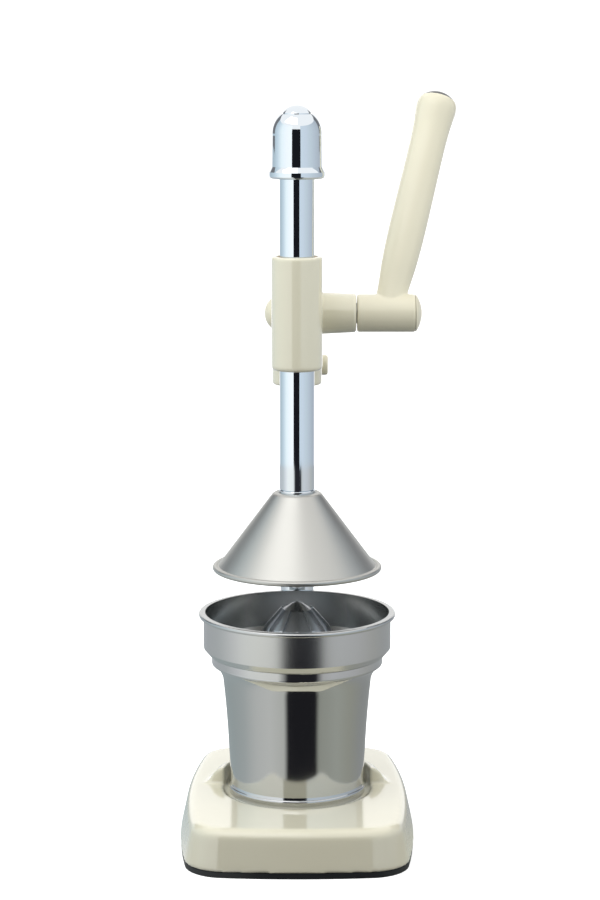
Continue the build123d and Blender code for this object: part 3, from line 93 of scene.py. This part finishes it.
# %% Rounding the corners of an outline
def rounded(corners, steps=7):
    """The points of an outline whose corners, (radius, height, fillet) in millimetres, become arcs."""
    nearly_straight = radians(89.5)
    points = []
    last = len(corners) - 1
    for index, (r, h, fillet) in enumerate(corners):
        here = Vector((r, h))
        if fillet == 0 or index in (0, last):
            points.append(here)
            continue
        to_before = Vector(corners[index - 1][:2]) - here
        to_after = Vector(corners[index + 1][:2]) - here
        half = to_before.angle(to_after) / 2
        if half > nearly_straight:
            points.append(here)
            continue
        slope = sin(half) / cos(half)
        reach = min(fillet / slope, 0.49 * to_before.length, 0.49 * to_after.length)
        inward = (to_before.normalized() + to_after.normalized()).normalized()
        centre = here + inward * (reach * slope / sin(half))
        start = here + to_before.normalized() * reach - centre
        end = here + to_after.normalized() * reach - centre
        sweep = atan2(start.x * end.y - start.y * end.x, start.dot(end))
        for step in range(steps + 1):
            turn = sweep * step / steps
            arm_r = start.x * cos(turn) - start.y * sin(turn)
            arm_h = start.x * sin(turn) + start.y * cos(turn)
            points.append(centre + Vector((arm_r, arm_h)))
    return points


# %% [markdown]
# Every piece we make needs the same four things: a mesh, a finish, the body it rides on and the node it
# stands for. Once the mesh is made, one function does the other three, so that no piece can be left behind
# when the press moves.


# %% Making a piece
def finish_piece(piece, material, body, stands_for=()):
    """Gives the piece its material and its body, and hides the nodes that it replaces."""
    piece.data.materials.clear()
    piece.data.materials.append(material)
    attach(piece, body)
    if stands_for:
        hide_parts(*stands_for)
    print(piece.name, "faces", len(piece.data.polygons), "on", body)
    return piece


def new_piece(name, points, faces, sharp_angle=35):
    """A smooth-shaded mesh object from points in metres."""
    mesh = bpy.data.meshes.new(name)
    mesh.from_pydata([tuple(p) for p in points], [], faces)
    mesh.validate()
    mesh.update()
    piece = bpy.data.objects.new(name, mesh)
    bpy.context.scene.collection.objects.link(piece)
    mesh.shade_smooth()
    mesh.set_sharp_from_angle(angle=radians(sharp_angle))
    return piece


def turned(name, outline, origin=ORIGIN, axis=Z_AXIS, sides=160):
    """Turns an outline of (radius, height) points in millimetres about an axis; radius 0 closes an end."""
    turn_frame = axis.to_track_quat("Z", "Y").to_matrix()
    points = []
    rings = []
    for r, h in outline:
        if abs(r) < 1e-6:
            rings.append([len(points)] * sides)
            points.append(origin + turn_frame @ Vector((0, 0, h * MM)))
            continue
        rings.append(list(range(len(points), len(points) + sides)))
        for side in range(sides):
            turn = 2 * pi * side / sides
            points.append(origin + turn_frame @ (Vector((r * cos(turn), r * sin(turn), h)) * MM))
    faces = []
    for lower, upper in zip(rings, rings[1:]):
        for side in range(sides):
            after = (side + 1) % sides
            corners = [lower[side], lower[after], upper[after], upper[side]]
            unique = list(dict.fromkeys(corners))
            if len(unique) > 2:
                faces.append(unique)
    return new_piece(name, points, faces)


# %% [markdown]
# ### Softening a casting
#
# Cast iron and die castings have no sharp corners: the mould needs radii, and the enamel fills what is left.
# We could bevel every edge, but where a round boss runs into a flat cheek a bevel rarely finds its way.
# Rebuilding the surface from small cubes and then letting it relax gives an even radius everywhere,
# inside corners included, exactly as a thick coat does.


# %% Softening a mesh, and copying a node as a soft casting
def relaxed(piece, voxel_mm, passes, factor=0.5):
    """Rebuilds a piece's mesh from small cubes and relaxes it, so that every corner gets a small radius."""
    if piece.name not in bpy.context.scene.collection.objects:
        bpy.context.scene.collection.objects.link(piece)
    rebuild = piece.modifiers.new("rebuild", "REMESH")
    rebuild.mode = "VOXEL"
    rebuild.voxel_size = voxel_mm * MM
    relax = piece.modifiers.new("relax", "SMOOTH")
    relax.factor = factor
    relax.iterations = passes
    bpy.context.view_layer.update()
    shaped = bpy.data.meshes.new_from_object(piece.evaluated_get(bpy.context.evaluated_depsgraph_get()))
    piece.modifiers.clear()
    piece.data = shaped
    shaped.name = piece.name
    shaped.shade_smooth()
    return piece


def softened(name, node, voxel_mm, passes):
    """A soft copy of a node's mesh."""
    return relaxed(bpy.data.objects.new(name, frame["nodes"][node].data.copy()), voxel_mm, passes)


# %% [markdown]
# ## Finishes
#
# Colours are given as hex values, which are sRGB. Shaders want linear light, so one function
# converts them. Another adds a node with its settings and links in one line.


# %% Colour and node helpers
def linear(hex_colour):
    """A hex colour such as "#E8E2C8" as linear red, green, blue and 1."""
    channels = [int(hex_colour[i : i + 2], 16) / 255 for i in (1, 3, 5)]
    return (*[c / 12.92 if c <= 0.04045 else ((c + 0.055) / 1.055) ** 2.4 for c in channels], 1.0)


def add_node(material, kind, links=None, **settings):
    """Adds a node. Settings named after a socket set that socket; the others set the node itself."""
    node = material.node_tree.nodes.new(kind)
    for key, value in settings.items():
        socket = node.inputs.get(key.replace("_", " "))
        if socket is not None and not hasattr(node, key):
            socket.default_value = value
        else:
            setattr(node, key, value)
    for socket_name, source in (links or {}).items():
        material.node_tree.links.new(source, node.inputs[socket_name])
    return node


def new_material(name, base, metallic=0.0, roughness=0.5, **sockets):
    """A Principled material. Returns it, its shader, and the object's own coordinates in metres."""
    material = bpy.data.materials.new(name)
    material.use_nodes = True
    shader = material.node_tree.nodes["Principled BSDF"]
    shader.inputs["Base Color"].default_value = linear(base)
    shader.inputs["Metallic"].default_value = metallic
    shader.inputs["Roughness"].default_value = roughness
    for key, value in sockets.items():
        shader.inputs[key.replace("_", " ")].default_value = value
    place = add_node(material, "ShaderNodeTexCoord").outputs["Object"]
    return material, shader, place


def per_metre(size_mm):
    """A texture scale whose features are about this many millimetres across."""
    return 1000 / size_mm


def vary_roughness(material, shader, pattern, lowest, highest):
    """Lets a pattern move the roughness between two values."""
    span = add_node(material, "ShaderNodeMapRange", {"Value": pattern}, To_Min=lowest, To_Max=highest)
    material.node_tree.links.new(span.outputs["Result"], shader.inputs["Roughness"])


def add_bump(material, shader, height, distance_mm, strength=1.0):
    """Lets a pattern raise the surface by this many millimetres."""
    distance = distance_mm * MM
    bump = add_node(material, "ShaderNodeBump", {"Height": height}, Strength=strength, Distance=distance)
    material.node_tree.links.new(bump.outputs["Normal"], shader.inputs["Normal"])


def noise(material, place, size_mm, detail):
    """A soft random pattern, from 0 to 1, with patches about this many millimetres across."""
    scale = per_metre(size_mm)
    pattern = add_node(material, "ShaderNodeTexNoise", {"Vector": place}, Scale=scale, Detail=detail)
    return pattern.outputs["Fac"]


# %% [markdown]
# ### Stove enamel on cast iron
#
# The base and the head are sand castings, ground, primed and sprayed with an ivory enamel that is baked hard.
# The enamel is glassy but not flat: it dries with a faint ripple, the orange peel of sprayed paint, a few
# millimetres across. Its colour pools very slightly, so the base colour wanders by a percent or two.


# %% Ivory enamel
# The mix node has sockets for numbers, vectors and colours under the same names, so its colours go by place.
MIX_FIRST_COLOUR = 6
MIX_SECOND_COLOUR = 7
MIX_RESULT = 2


def coated(name, base, shade, roughness, peel_mm, peel_height, coat):
    """A glossy coat with faint ripple and a little drift in colour."""
    glassy = {"Coat_Weight": coat, "Coat_Roughness": 0.03}
    material, shader, place = new_material(name, base, 0.0, roughness, **glassy)
    drift = noise(material, place, size_mm=45, detail=2.0)
    tint = add_node(material, "ShaderNodeMix", {"Factor": drift}, data_type="RGBA")
    tint.inputs[MIX_FIRST_COLOUR].default_value = linear(base)
    tint.inputs[MIX_SECOND_COLOUR].default_value = linear(shade)
    material.node_tree.links.new(tint.outputs[MIX_RESULT], shader.inputs["Base Color"])
    add_bump(material, shader, noise(material, place, peel_mm, detail=1.0), peel_height)
    wear = noise(material, place, size_mm=9, detail=3.0)
    vary_roughness(material, shader, wear, roughness - 0.05, roughness + 0.06)
    return material


ivory_enamel = coated("ivory_stove_enamel", "#EAE5CE", "#E6E0C7", 0.16, 2.6, 0.002, 1.0)

# %% [markdown]
# ### Moulded urea plastic
#
# The handle and the small caps are compression moulded in a plastic coloured to match the enamel. It is a
# touch warmer and a touch softer in its gloss, and its ripple is finer, because it copies a polished mould.

# %% Ivory moulded plastic
ivory_plastic = coated("ivory_moulded_urea", "#ECE6CE", "#E7E0C6", 0.33, 1.6, 0.003, 0.45)

# %% [markdown]
# ### Bright chrome plate
#
# Chrome is a mirror with a cold cast. The plate itself is thin, so what shows is how well the bar was ground
# beneath it: very faint lengthwise variation in the gloss. We keep the default IOR, as for every metal,
# because the base colour already says how it reflects.


# %% Chrome
def polished_metal(name, base, smooth, rough, streaks=(1.0, 1.0, 1.0), grain_mm=6.0):
    """A bright metal whose gloss varies a little along a stretched pattern."""
    material, shader, place = new_material(name, base, 1.0, smooth)
    stretch = add_node(material, "ShaderNodeMapping", {"Vector": place})
    stretch.inputs["Scale"].default_value = streaks
    grain = noise(material, stretch.outputs["Vector"], grain_mm, detail=4.0)
    vary_roughness(material, shader, grain, smooth, rough)
    return material


chrome = polished_metal("bright_chrome_plate", "#DDE3E8", 0.025, 0.06, (1.0, 1.0, 0.15))

# %% [markdown]
# ### Stainless steel, polished, satin and spun
#
# The cup is drawn from sheet and polished. The bowl gets a satin finish from a fine abrasive belt while it
# turns, and the cone is spun over a former and keeps the rings of the tool. All three are one steel: only
# the scratches differ. Scratches that run round the axis spread a highlight up and down, which is what the
# anisotropy does, with its tangent running round the axis. The tool's rings are about a quarter of a
# millimetre apart, which would vanish at this distance, so they are drawn three times as wide.


# %% Stainless steels
def turned_steel(name, base, roughness, anisotropy, ring_mm, ring_height, drift):
    """Steel with fine rings round the z axis, as a lathe or a belt leaves them."""
    material, shader, place = new_material(name, base, 1.0, roughness, Anisotropic=anisotropy)
    tangent = add_node(material, "ShaderNodeTangent", direction_type="RADIAL", axis="Z")
    material.node_tree.links.new(tangent.outputs["Tangent"], shader.inputs["Tangent"])
    split = add_node(material, "ShaderNodeSeparateXYZ", {"Vector": place})
    squares = []
    for side in ("X", "Y"):
        links = {0: split.outputs[side], 1: split.outputs[side]}
        squares.append(add_node(material, "ShaderNodeMath", links, operation="MULTIPLY").outputs[0])
    both = add_node(material, "ShaderNodeMath", {0: squares[0], 1: squares[1]}, operation="ADD")
    radius = add_node(material, "ShaderNodeMath", {0: both.outputs[0]}, operation="SQRT")
    links = {"X": radius.outputs[0], "Z": split.outputs["Z"]}
    ring_place = add_node(material, "ShaderNodeCombineXYZ", links)
    add_bump(material, shader, noise(material, ring_place.outputs[0], ring_mm, detail=3.0), ring_height)
    cloud = noise(material, place, size_mm=30, detail=3.0)
    vary_roughness(material, shader, cloud, roughness - drift, roughness + drift)
    return material


polished_steel = turned_steel("polished_stainless", "#BFC0C0", 0.10, 0.2, 1.2, 0.0004, 0.02)
satin_steel = turned_steel("satin_stainless", "#C0C1C0", 0.22, 0.5, 0.7, 0.0010, 0.03)
spun_steel = turned_steel("spun_stainless", "#BFBEB9", 0.33, 0.6, 0.75, 0.0016, 0.04)

# %% [markdown]
# ### The working metals, the rubber and the black plastic
#
# Bushes are sintered bronze, a little porous. Screws, washers, the shaft and the pinion are plain machined
# steel. The reamer is cast aluminium, tumbled smooth. The sole is moulded rubber, and the plug in the end of
# the grip is a glossy black moulding.


# %% The remaining finishes
def plain_metal(name, base, roughness, pit_mm, pit_height):
    """A machined or cast metal with a fine random texture."""
    material, shader, place = new_material(name, base, 1.0, roughness)
    pits = noise(material, place, pit_mm, detail=5.0)
    add_bump(material, shader, pits, pit_height)
    vary_roughness(material, shader, pits, roughness - 0.06, roughness + 0.10)
    return material


def moulded(name, base, roughness, grain_mm, grain_height):
    """A dark moulding with a faint grain."""
    material, shader, place = new_material(name, base, 0.0, roughness)
    grain = noise(material, place, grain_mm, detail=4.0)
    add_bump(material, shader, grain, grain_height)
    vary_roughness(material, shader, grain, roughness - 0.06, roughness + 0.08)
    return material


machined_steel = plain_metal("machined_steel", "#9A9C9E", 0.30, 1.2, 0.004)
sintered_bronze = plain_metal("sintered_bronze", "#A9824A", 0.38, 0.8, 0.008)
tumbled_aluminium = plain_metal("tumbled_cast_aluminium", "#B9BBBD", 0.34, 1.6, 0.012)
black_rubber = moulded("moulded_rubber", "#1C1E20", 0.62, 0.9, 0.02)
black_plastic = moulded("black_moulded_plug", "#141414", 0.28, 1.4, 0.004)
print("finishes", [material.name for material in bpy.data.materials if material.use_nodes])

# %% [markdown]
# ## The nodes that stay
#
# Small parts that are already right keep their solids and only get a finish. We give every node one here,
# and the pieces that we remake below will hide theirs.

# %% A finish for every node
SLOT_FINISH = {
    "ivory_enamel": ivory_enamel,
    "ivory_plastic": ivory_plastic,
    "chrome": chrome,
    "stainless_polished": polished_steel,
    "stainless_brushed": satin_steel,
    "steel": machined_steel,
    "bronze": sintered_bronze,
    "cast_aluminium": tumbled_aluminium,
    "rubber": black_rubber,
    "black_plastic": black_plastic,
}
NODE_FINISH = {"press_cone": spun_steel}
for part in frame["record"]["subparts"]:
    node = frame["nodes"][part["node"]]
    node.data.materials.clear()
    node.data.materials.append(NODE_FINISH.get(part["node"], SLOT_FINISH[part["material_slot"]]))

# %% [markdown]
# ## Castings
#
# The base and the head are the two enamelled castings. The base is the larger and coarser of the two, so its
# corners melt over a wider radius: the cubes it is rebuilt from are half as large again as the head's.

# %% Base and head
base = softened("base_body", "base_casting", voxel_mm=0.9, passes=10)
finish_piece(base, ivory_enamel, "frame", ["base_casting"])

head = softened("head_body", "head_casting", voxel_mm=0.6, passes=8)
finish_piece(head, ivory_enamel, "frame", ["head_casting"])

# %% [markdown]
# ## The handle
#
# The handle is one moulding: a round hub on the shaft and a grip that swells for the fingers, narrows, and
# ends in a head that stops the hand from slipping off. We sweep the grip's oval sections along its axis,
# turn the hub, and then let the same softening melt the two together as the mould does.
#
# The grip's axis is the axis of the steel core inside it. It starts where that axis crosses the plane of the
# shaft.

# %% Axis of the grip
core = frame["nodes"]["lever_core"]
core_points = [core.matrix_world @ v.co for v in core.data.vertices]
core_middle = sum(core_points, Vector()) / len(core_points)
upper = [p for p in core_points if p.z > core_middle.z]
lower = [p for p in core_points if p.z <= core_middle.z]
grip_axis = (sum(upper, Vector()) / len(upper) - sum(lower, Vector()) / len(lower)).normalized()
grip_start = core_middle - grip_axis * ((core_middle.y - LEVER_PIVOT.y) / grip_axis.y)
grip_across = (X_AXIS - grip_axis * grip_axis.x).normalized()
grip_deep = grip_axis.cross(grip_across)
print("grip starts at", tuple(round(v, 4) for v in grip_start), "axis", tuple(round(v, 3) for v in grip_axis))

# %% [markdown]
# The grip's width changes along its length as the mould was cut: narrow where it leaves the hub, full under
# the palm, and widest in the head. Between the measured widths it follows one smooth curve.

# %% Grip
# Distance along the grip and the width there, in millimetres
GRIP_SECTIONS = [
    (0.0, 16.8),
    (14.6, 17.9),
    (30.0, 20.4),
    (48.5, 21.6),
    (74.0, 21.5),
    (92.0, 21.2),
    (106.0, 21.2),
    (116.0, 21.8),
    (122.5, 22.8),
    (127.5, 23.6),
    (130.5, 23.5),
    (133.0, 22.4),
    (134.8, 20.3),
]
GRIP_DEPTH_RATIO = 1.06


def between(sections, reach):
    """Width at this reach, on a smooth curve through the sections."""
    last = len(sections) - 1
    index = max(i for i in range(last) if sections[i][0] <= reach)
    around = [sections[min(max(index + step, 0), last)] for step in (-1, 0, 1, 2)]
    (r0, w0), (r1, w1), (r2, w2), (r3, w3) = around
    t = (reach - r1) / (r2 - r1)
    start_slope = (w2 - w0) / (r2 - r0) * (r2 - r1)
    end_slope = (w3 - w1) / (r3 - r1) * (r2 - r1)
    return (
        (2 * t**3 - 3 * t**2 + 1) * w1
        + (t**3 - 2 * t**2 + t) * start_slope
        + (3 * t**2 - 2 * t**3) * w2
        + (t**3 - t**2) * end_slope
    )


def swept_grip(name, sections, rings=90, sides=120):
    """Sweeps oval sections along the grip's axis, closed at both ends."""
    points = []
    faces = []
    end = sections[-1][0]
    for ring in range(rings):
        reach = end * ring / (rings - 1)
        half = between(sections, min(reach, end - 1e-6)) / 2
        for side in range(sides):
            turn = 2 * pi * side / sides
            offset = grip_across * (half * cos(turn)) + grip_deep * (half * GRIP_DEPTH_RATIO * sin(turn))
            points.append(grip_start + (grip_axis * reach + offset) * MM)
    for ring in range(rings - 1):
        for side in range(sides):
            after = (side + 1) % sides
            low_ring, high_ring = ring * sides, (ring + 1) * sides
            faces.append([low_ring + side, low_ring + after, high_ring + after, high_ring + side])
    faces.append(list(range(sides))[::-1])
    faces.append(list(range((rings - 1) * sides, rings * sides)))
    return new_piece(name, points, faces)


# %% [markdown]
# The hub is a short cylinder between the boss of the head and its own end cap. Its bottom is the lowest point
# of the handle, which gives its radius, and it ends a little way under the cap.


# %% Hub, and the two melted together
HUB_UNDER_CAP_MM = 3.5
HUB_INNER_FILLET_MM = 0.9
HUB_OUTER_FILLET_MM = 0.5


def melted(pieces, name, voxel_mm, passes):
    """Joins closed pieces into one mesh, rebuilds it evenly and relaxes it."""
    joined = bmesh.new()
    for piece in pieces:
        joined.from_mesh(piece.data)
    mesh = bpy.data.meshes.new(name + "_raw")
    joined.to_mesh(mesh)
    joined.free()
    for piece in pieces:
        bpy.data.objects.remove(piece)
    return relaxed(bpy.data.objects.new(name, mesh), voxel_mm, passes)


handle_low = low("lever_handle")
hub_left = handle_low.x / MM
hub_right = low("hub_cap").x / MM + HUB_UNDER_CAP_MM
hub_radius = (LEVER_PIVOT.z - handle_low.z) / MM
hub_outline = [
    (0, hub_left, 0),
    (hub_radius, hub_left, HUB_INNER_FILLET_MM),
    (hub_radius, hub_right, HUB_OUTER_FILLET_MM),
    (0, hub_right, 0),
]
hub = turned("hub", rounded(hub_outline), Vector((0, LEVER_PIVOT.y, LEVER_PIVOT.z)), X_AXIS)
grip = swept_grip("grip", GRIP_SECTIONS)
handle = melted([hub, grip], "handle_body", voxel_mm=0.5, passes=10)
finish_piece(handle, ivory_plastic, "lever", ["lever_handle"])
print("hub", round(hub_left, 2), "to", round(hub_right, 2), "radius", round(hub_radius, 2))

# %% [markdown]
# ## The camera
#
# A long lens a step and a half away, a little above the press and looking gently down.

# %% Camera
CAMERA_PLACE = (0.0017, -1.400, 0.459)
CAMERA_DOWN_DEGREES = 9.4
LENS_MM = 98.5
SENSOR_MM = 36.0
NEAREST_SEEN = 0.05

camera = bpy.data.objects.new("camera", bpy.data.cameras.new("camera"))
bpy.context.scene.collection.objects.link(camera)
camera.location = CAMERA_PLACE
camera.rotation_euler = (radians(90 - CAMERA_DOWN_DEGREES), 0, 0)
camera.data.lens = LENS_MM
camera.data.sensor_width = SENSOR_MM
camera.data.clip_start = NEAREST_SEEN
bpy.context.scene.camera = camera
bpy.context.scene.view_settings.view_transform = "Standard"
print("camera", CAMERA_PLACE, "looks down", CAMERA_DOWN_DEGREES, "degrees")

# %% [markdown]
# ## A tent of light
#
# Polished metal has no look of its own: it shows the room. So we build the room that a product photographer
# builds, a ring of soft panels with one dark gap at the front for the lens. The gap draws the single black
# line down every round, bright part. The wall on the left is the key light, and the one on the right is
# dimmer and colder, so the metal turns from white to blue-grey across its width.
#
# The walls glow, and the lens can't see them. Each wall is one curved strip whose colour runs smoothly from
# one bearing to the next, because a seam between two flat panels would show in the chrome as a line.


# %% Cards that glow
def glow(name, colour, strength):
    """A material that only gives light, from the front of a panel and its back alike."""
    material = bpy.data.materials.new(name)
    material.use_nodes = True
    material.node_tree.nodes.clear()
    light = add_node(material, "ShaderNodeEmission", Color=linear(colour), Strength=strength)
    add_node(material, "ShaderNodeOutputMaterial", {"Surface": light.outputs[0]})
    return material


def unseen(card):
    """Hides a card from the lens and from shadows."""
    card.visible_camera = False
    card.visible_shadow = False
    return card


def graded_ring(name, stops, near, far, strength, step_degrees=2.0):
    """A curved strip between two edges of (radius, height), whose colour runs smoothly between stops of
    (bearing in degrees from the front, colour)."""
    mesh_points = []
    colours = []
    for (start, first), (end, last) in zip(stops, stops[1:]):
        steps = max(1, round((end - start) / step_degrees))
        for step in range(steps + (end == stops[-1][0])):
            share = step / steps
            bearing = radians(start + (end - start) * share)
            mixed = [a * (1 - share) + b * share for a, b in zip(linear(first), linear(last))]
            for radius, height in (near, far):
                mesh_points.append((radius * sin(bearing), -radius * cos(bearing), height))
                colours.append(mixed)
    faces = [[2 * i, 2 * i + 2, 2 * i + 3, 2 * i + 1] for i in range(len(mesh_points) // 2 - 1)]
    wall = new_piece(name, mesh_points, faces)
    tones = wall.data.color_attributes.new("tone", "FLOAT_COLOR", "POINT")
    for index, colour in enumerate(colours):
        tones.data[index].color = colour
    material = glow(name + "_glow", "#FFFFFF", strength)
    tone = add_node(material, "ShaderNodeVertexColor", layer_name="tone")
    material.node_tree.links.new(tone.outputs["Color"], material.node_tree.nodes["Emission"].inputs["Color"])
    wall.data.materials.append(material)
    return unseen(wall)


# %% [markdown]
# The tent stands 1.3 m from the ram and reaches from just under the table to above the lens. Behind the press
# hangs a white backdrop that only mirrors see. On either side of it the upper wall is shaded, and that is
# what draws the thin grey edge round the bell cap and down the cone.

# %% Walls
TENT_RADIUS = 1.3
TENT_FOOT = (TENT_RADIUS, -0.02)
TENT_TOP = (TENT_RADIUS, 1.25)
GAP_TOP = (TENT_RADIUS, 0.85)
SHADE_FOOT = (1.25, 0.36)
SHADE_TOP = (1.25, 1.25)
WALL_STRENGTH = 1.3
BACKDROP_STRENGTH = 1.12

left_stops = [
    (-150, "#A8B4BE"),
    (-125, "#B0C0C8"),
    (-99, "#C8D6DF"),
    (-74, "#EAF4F6"),
    (-52, "#F5F9FC"),
    (-23, "#FAFDFF"),
]
right_stops = [
    (16, "#CBD7E0"),
    (42, "#C8D2DC"),
    (63, "#C1CCD3"),
    (86, "#B9C2CB"),
    (114, "#AEB6BE"),
    (150, "#A2A8B3"),
]
gap_stops = [(-23, "#1C1D22"), (16, "#1C1D22")]
backdrop_stops = [(150, "#FFFFFF"), (210, "#FFFFFF")]
graded_ring("left_wall", left_stops, TENT_FOOT, TENT_TOP, WALL_STRENGTH)
graded_ring("right_wall", right_stops, TENT_FOOT, TENT_TOP, WALL_STRENGTH)
graded_ring("lens_gap", gap_stops, TENT_FOOT, GAP_TOP, 1.0)
backdrop = graded_ring("backdrop", backdrop_stops, TENT_FOOT, TENT_TOP, BACKDROP_STRENGTH)
backdrop.visible_diffuse = False
for side, first, last in (("left", -150, -122), ("right", 122, 150)):
    shade_stops = [(first, "#7F8084"), (last, "#7F8084")]
    shade = graded_ring(side + "_shade", shade_stops, SHADE_FOOT, SHADE_TOP, 1.0)
    shade.visible_diffuse = False
print("walls", TENT_RADIUS, "m from the ram")

# %% [markdown]
# ### Overhead panel
#
# Cones and shoulders look up, so they need something to see there. A panel over the left front lights one
# side of the cone and leaves the other to the darker sky.


# %% Overhead panel
def ceiling_panel(name, start, end, inner, outer, height, strength, reach=30):
    """A flat panel overhead, a slice of a ring between two bearings."""
    points = []
    for step in range(reach + 1):
        bearing = radians(start + (end - start) * step / reach)
        for radius in (inner, outer):
            points.append((radius * sin(bearing), -radius * cos(bearing), height))
    faces = [[2 * i, 2 * i + 1, 2 * i + 3, 2 * i + 2] for i in range(reach)]
    panel = new_piece(name, points, faces)
    panel.data.materials.append(glow(name + "_glow", "#FFFFFF", strength))
    return unseen(panel)


ceiling_panel("overhead", start=-80, end=4, inner=0.35, outer=1.4, height=1.6, strength=2.0)

# %% [markdown]
# ### Floor
#
# The lens should see clean pale paper with a soft shadow under the sole. The metal should see a floor that is
# darker than the sky, or its undersides would glow. One floor can't do both, so the paper is for the lens,
# and the press's reflections look past it to a graded tabletop just below.


# %% Paper and grey sheet
PAPER_HALF = 14.0
SHEET_HALF = 1.5
SHEET_HEIGHT = -0.006


def flat_sheet(name, corners, height):
    """A flat sheet with these corners, in metres."""
    return new_piece(name, [(x, y, height) for x, y in corners], [list(range(len(corners)))])


def square(half):
    """Corners of a square about the origin."""
    return [(-half, -half), (half, -half), (half, half), (-half, half)]


paper = flat_sheet("paper", square(PAPER_HALF), 0)
paper_white, paper_shader, paper_place = new_material("pale_paper", "#F6F6F4", 0.0, 0.9)
add_bump(paper_white, paper_shader, noise(paper_white, paper_place, size_mm=3, detail=3.0), 0.02)
paper_shader.inputs["Specular IOR Level"].default_value = 0.0
paper_shader.inputs["Emission Color"].default_value = linear("#FFFFFF")
paper_shader.inputs["Emission Strength"].default_value = 0.45
paper.data.materials.append(paper_white)
paper.visible_diffuse = False
paper.visible_glossy = False

grey_sheet = flat_sheet("grey_sheet", square(SHEET_HALF), SHEET_HEIGHT)
grey_sheet.data.materials.append(glow("grey_sheet_glow", "#A9A8A2", 0.9))
unseen(grey_sheet).visible_glossy = False

# %% [markdown]
# ### Tabletop
#
# Under the walls the tabletop takes on their tones, and the lens gap runs on across it towards the lens. The
# cup leans in and looks down at the near table, the straight bowl looks at the far table, so there are two
# rings. Only reflections see them.

# %% Tabletop
TABLE_HEIGHT = -0.004
NEAR_TABLE_RADIUS = 0.42
FAR_TABLE_STRENGTH = 1.3

near_stops = [
    (-180, "#9AA2A6"),
    (-126, "#B8C3C4"),
    (-91, "#C8D0D0"),
    (-65, "#E1E4E2"),
    (-42, "#E9EBE8"),
    (-20, "#DDDFDA"),
    (-14, "#26262A"),
    (27, "#26262A"),
    (33, "#B2B5AC"),
    (63, "#BEC2B9"),
    (88, "#B6B8AD"),
    (121, "#AAADAC"),
    (180, "#9A9E9F"),
]
far_stops = [
    (-180, "#A9AEB3"),
    (-135, "#B3B7BB"),
    (-105, "#BEC3C5"),
    (-83, "#D8DADC"),
    (-64, "#ECEEEC"),
    (-47, "#EEEFEB"),
    (-24, "#E8E9E6"),
    (-12, "#26262A"),
    (24, "#26262A"),
    (33, "#BFC0C0"),
    (45, "#C7C9CB"),
    (80, "#BDBEC0"),
    (101, "#B2B3B1"),
    (129, "#A6A9AB"),
    (180, "#A2A6A8"),
]
table_middle = (0.0, TABLE_HEIGHT)
table_join = (NEAR_TABLE_RADIUS, TABLE_HEIGHT)
table_edge = (TENT_RADIUS, TABLE_HEIGHT)
near_table = graded_ring("near_table", near_stops, table_middle, table_join, 1.0)
far_table = graded_ring("far_table", far_stops, table_join, table_edge, FAR_TABLE_STRENGTH)
near_table.visible_diffuse = False
far_table.visible_diffuse = False
print("tabletop rings to", NEAR_TABLE_RADIUS, "and", TENT_RADIUS, "m")

# %% [markdown]
# ### Cloth and flag
#
# A black cloth about the base and a low black flag before it keep the table's and the room's light off the
# base's sides and front, which stand darker than its top. Mirrors don't see either of them.

# %% Cloth and flag
CLOTH_CORNERS = [(-0.30, -0.36), (0.30, -0.36), (0.30, 0.25), (-0.30, 0.25)]
CLOTH_HEIGHT = -0.003
FLAG_HALF_WIDE = 0.35
FLAG_Y = -0.28
FLAG_FOOT = -0.002
FLAG_TOP = 0.11

cloth = flat_sheet("black_cloth", CLOTH_CORNERS, CLOTH_HEIGHT)
flag_points = [
    (-FLAG_HALF_WIDE, FLAG_Y, FLAG_FOOT),
    (FLAG_HALF_WIDE, FLAG_Y, FLAG_FOOT),
    (FLAG_HALF_WIDE, FLAG_Y, FLAG_TOP),
    (-FLAG_HALF_WIDE, FLAG_Y, FLAG_TOP),
]
flag = new_piece("black_flag", flag_points, [[0, 1, 2, 3]])
for blocker in (cloth, flag):
    blocker.data.materials.append(glow(blocker.name + "_glow", "#202020", 1.0))
    unseen(blocker).visible_glossy = False
print("cloth and flag before the base")

# %% [markdown]
# ### Lamps and sky
#
# Two broad lamps stand at the sides, outside the reflections: the stronger one on the left models the
# castings, and a warmer one on the right keeps the grip and the hub from going grey. A white sky fills what
# is left.


# %% Lamps and sky
SKY_STRENGTH = 1.15


def soft_light(name, place, target, wide, tall, watts, colour="#FFFFFF"):
    """A broad rectangular lamp that faces a point."""
    lamp = bpy.data.lights.new(name, "AREA")
    lamp.shape = "RECTANGLE"
    lamp.size = wide
    lamp.size_y = tall
    lamp.energy = watts
    lamp.color = linear(colour)[:3]
    holder = bpy.data.objects.new(name, lamp)
    bpy.context.scene.collection.objects.link(holder)
    holder.location = place
    holder.rotation_euler = (Vector(target) - Vector(place)).to_track_quat("-Z", "Y").to_euler()
    holder.visible_camera = False
    holder.visible_glossy = False
    return holder


soft_light("key_fill", place=(-1.1, -0.40, 0.75), target=(0, 0, 0.25), wide=0.9, tall=0.9, watts=3.8)
right_place = (1.1, -0.40, 0.60)
soft_light("right_fill", right_place, target=(0, 0, 0.32), wide=0.7, tall=0.7, watts=3.0, colour="#FFF6EA")

world = bpy.data.worlds.new("studio")
world.use_nodes = True
world.node_tree.nodes["Background"].inputs["Color"].default_value = linear("#FFFFFF")
world.node_tree.nodes["Background"].inputs["Strength"].default_value = SKY_STRENGTH
bpy.context.scene.world = world
print("sky", SKY_STRENGTH)
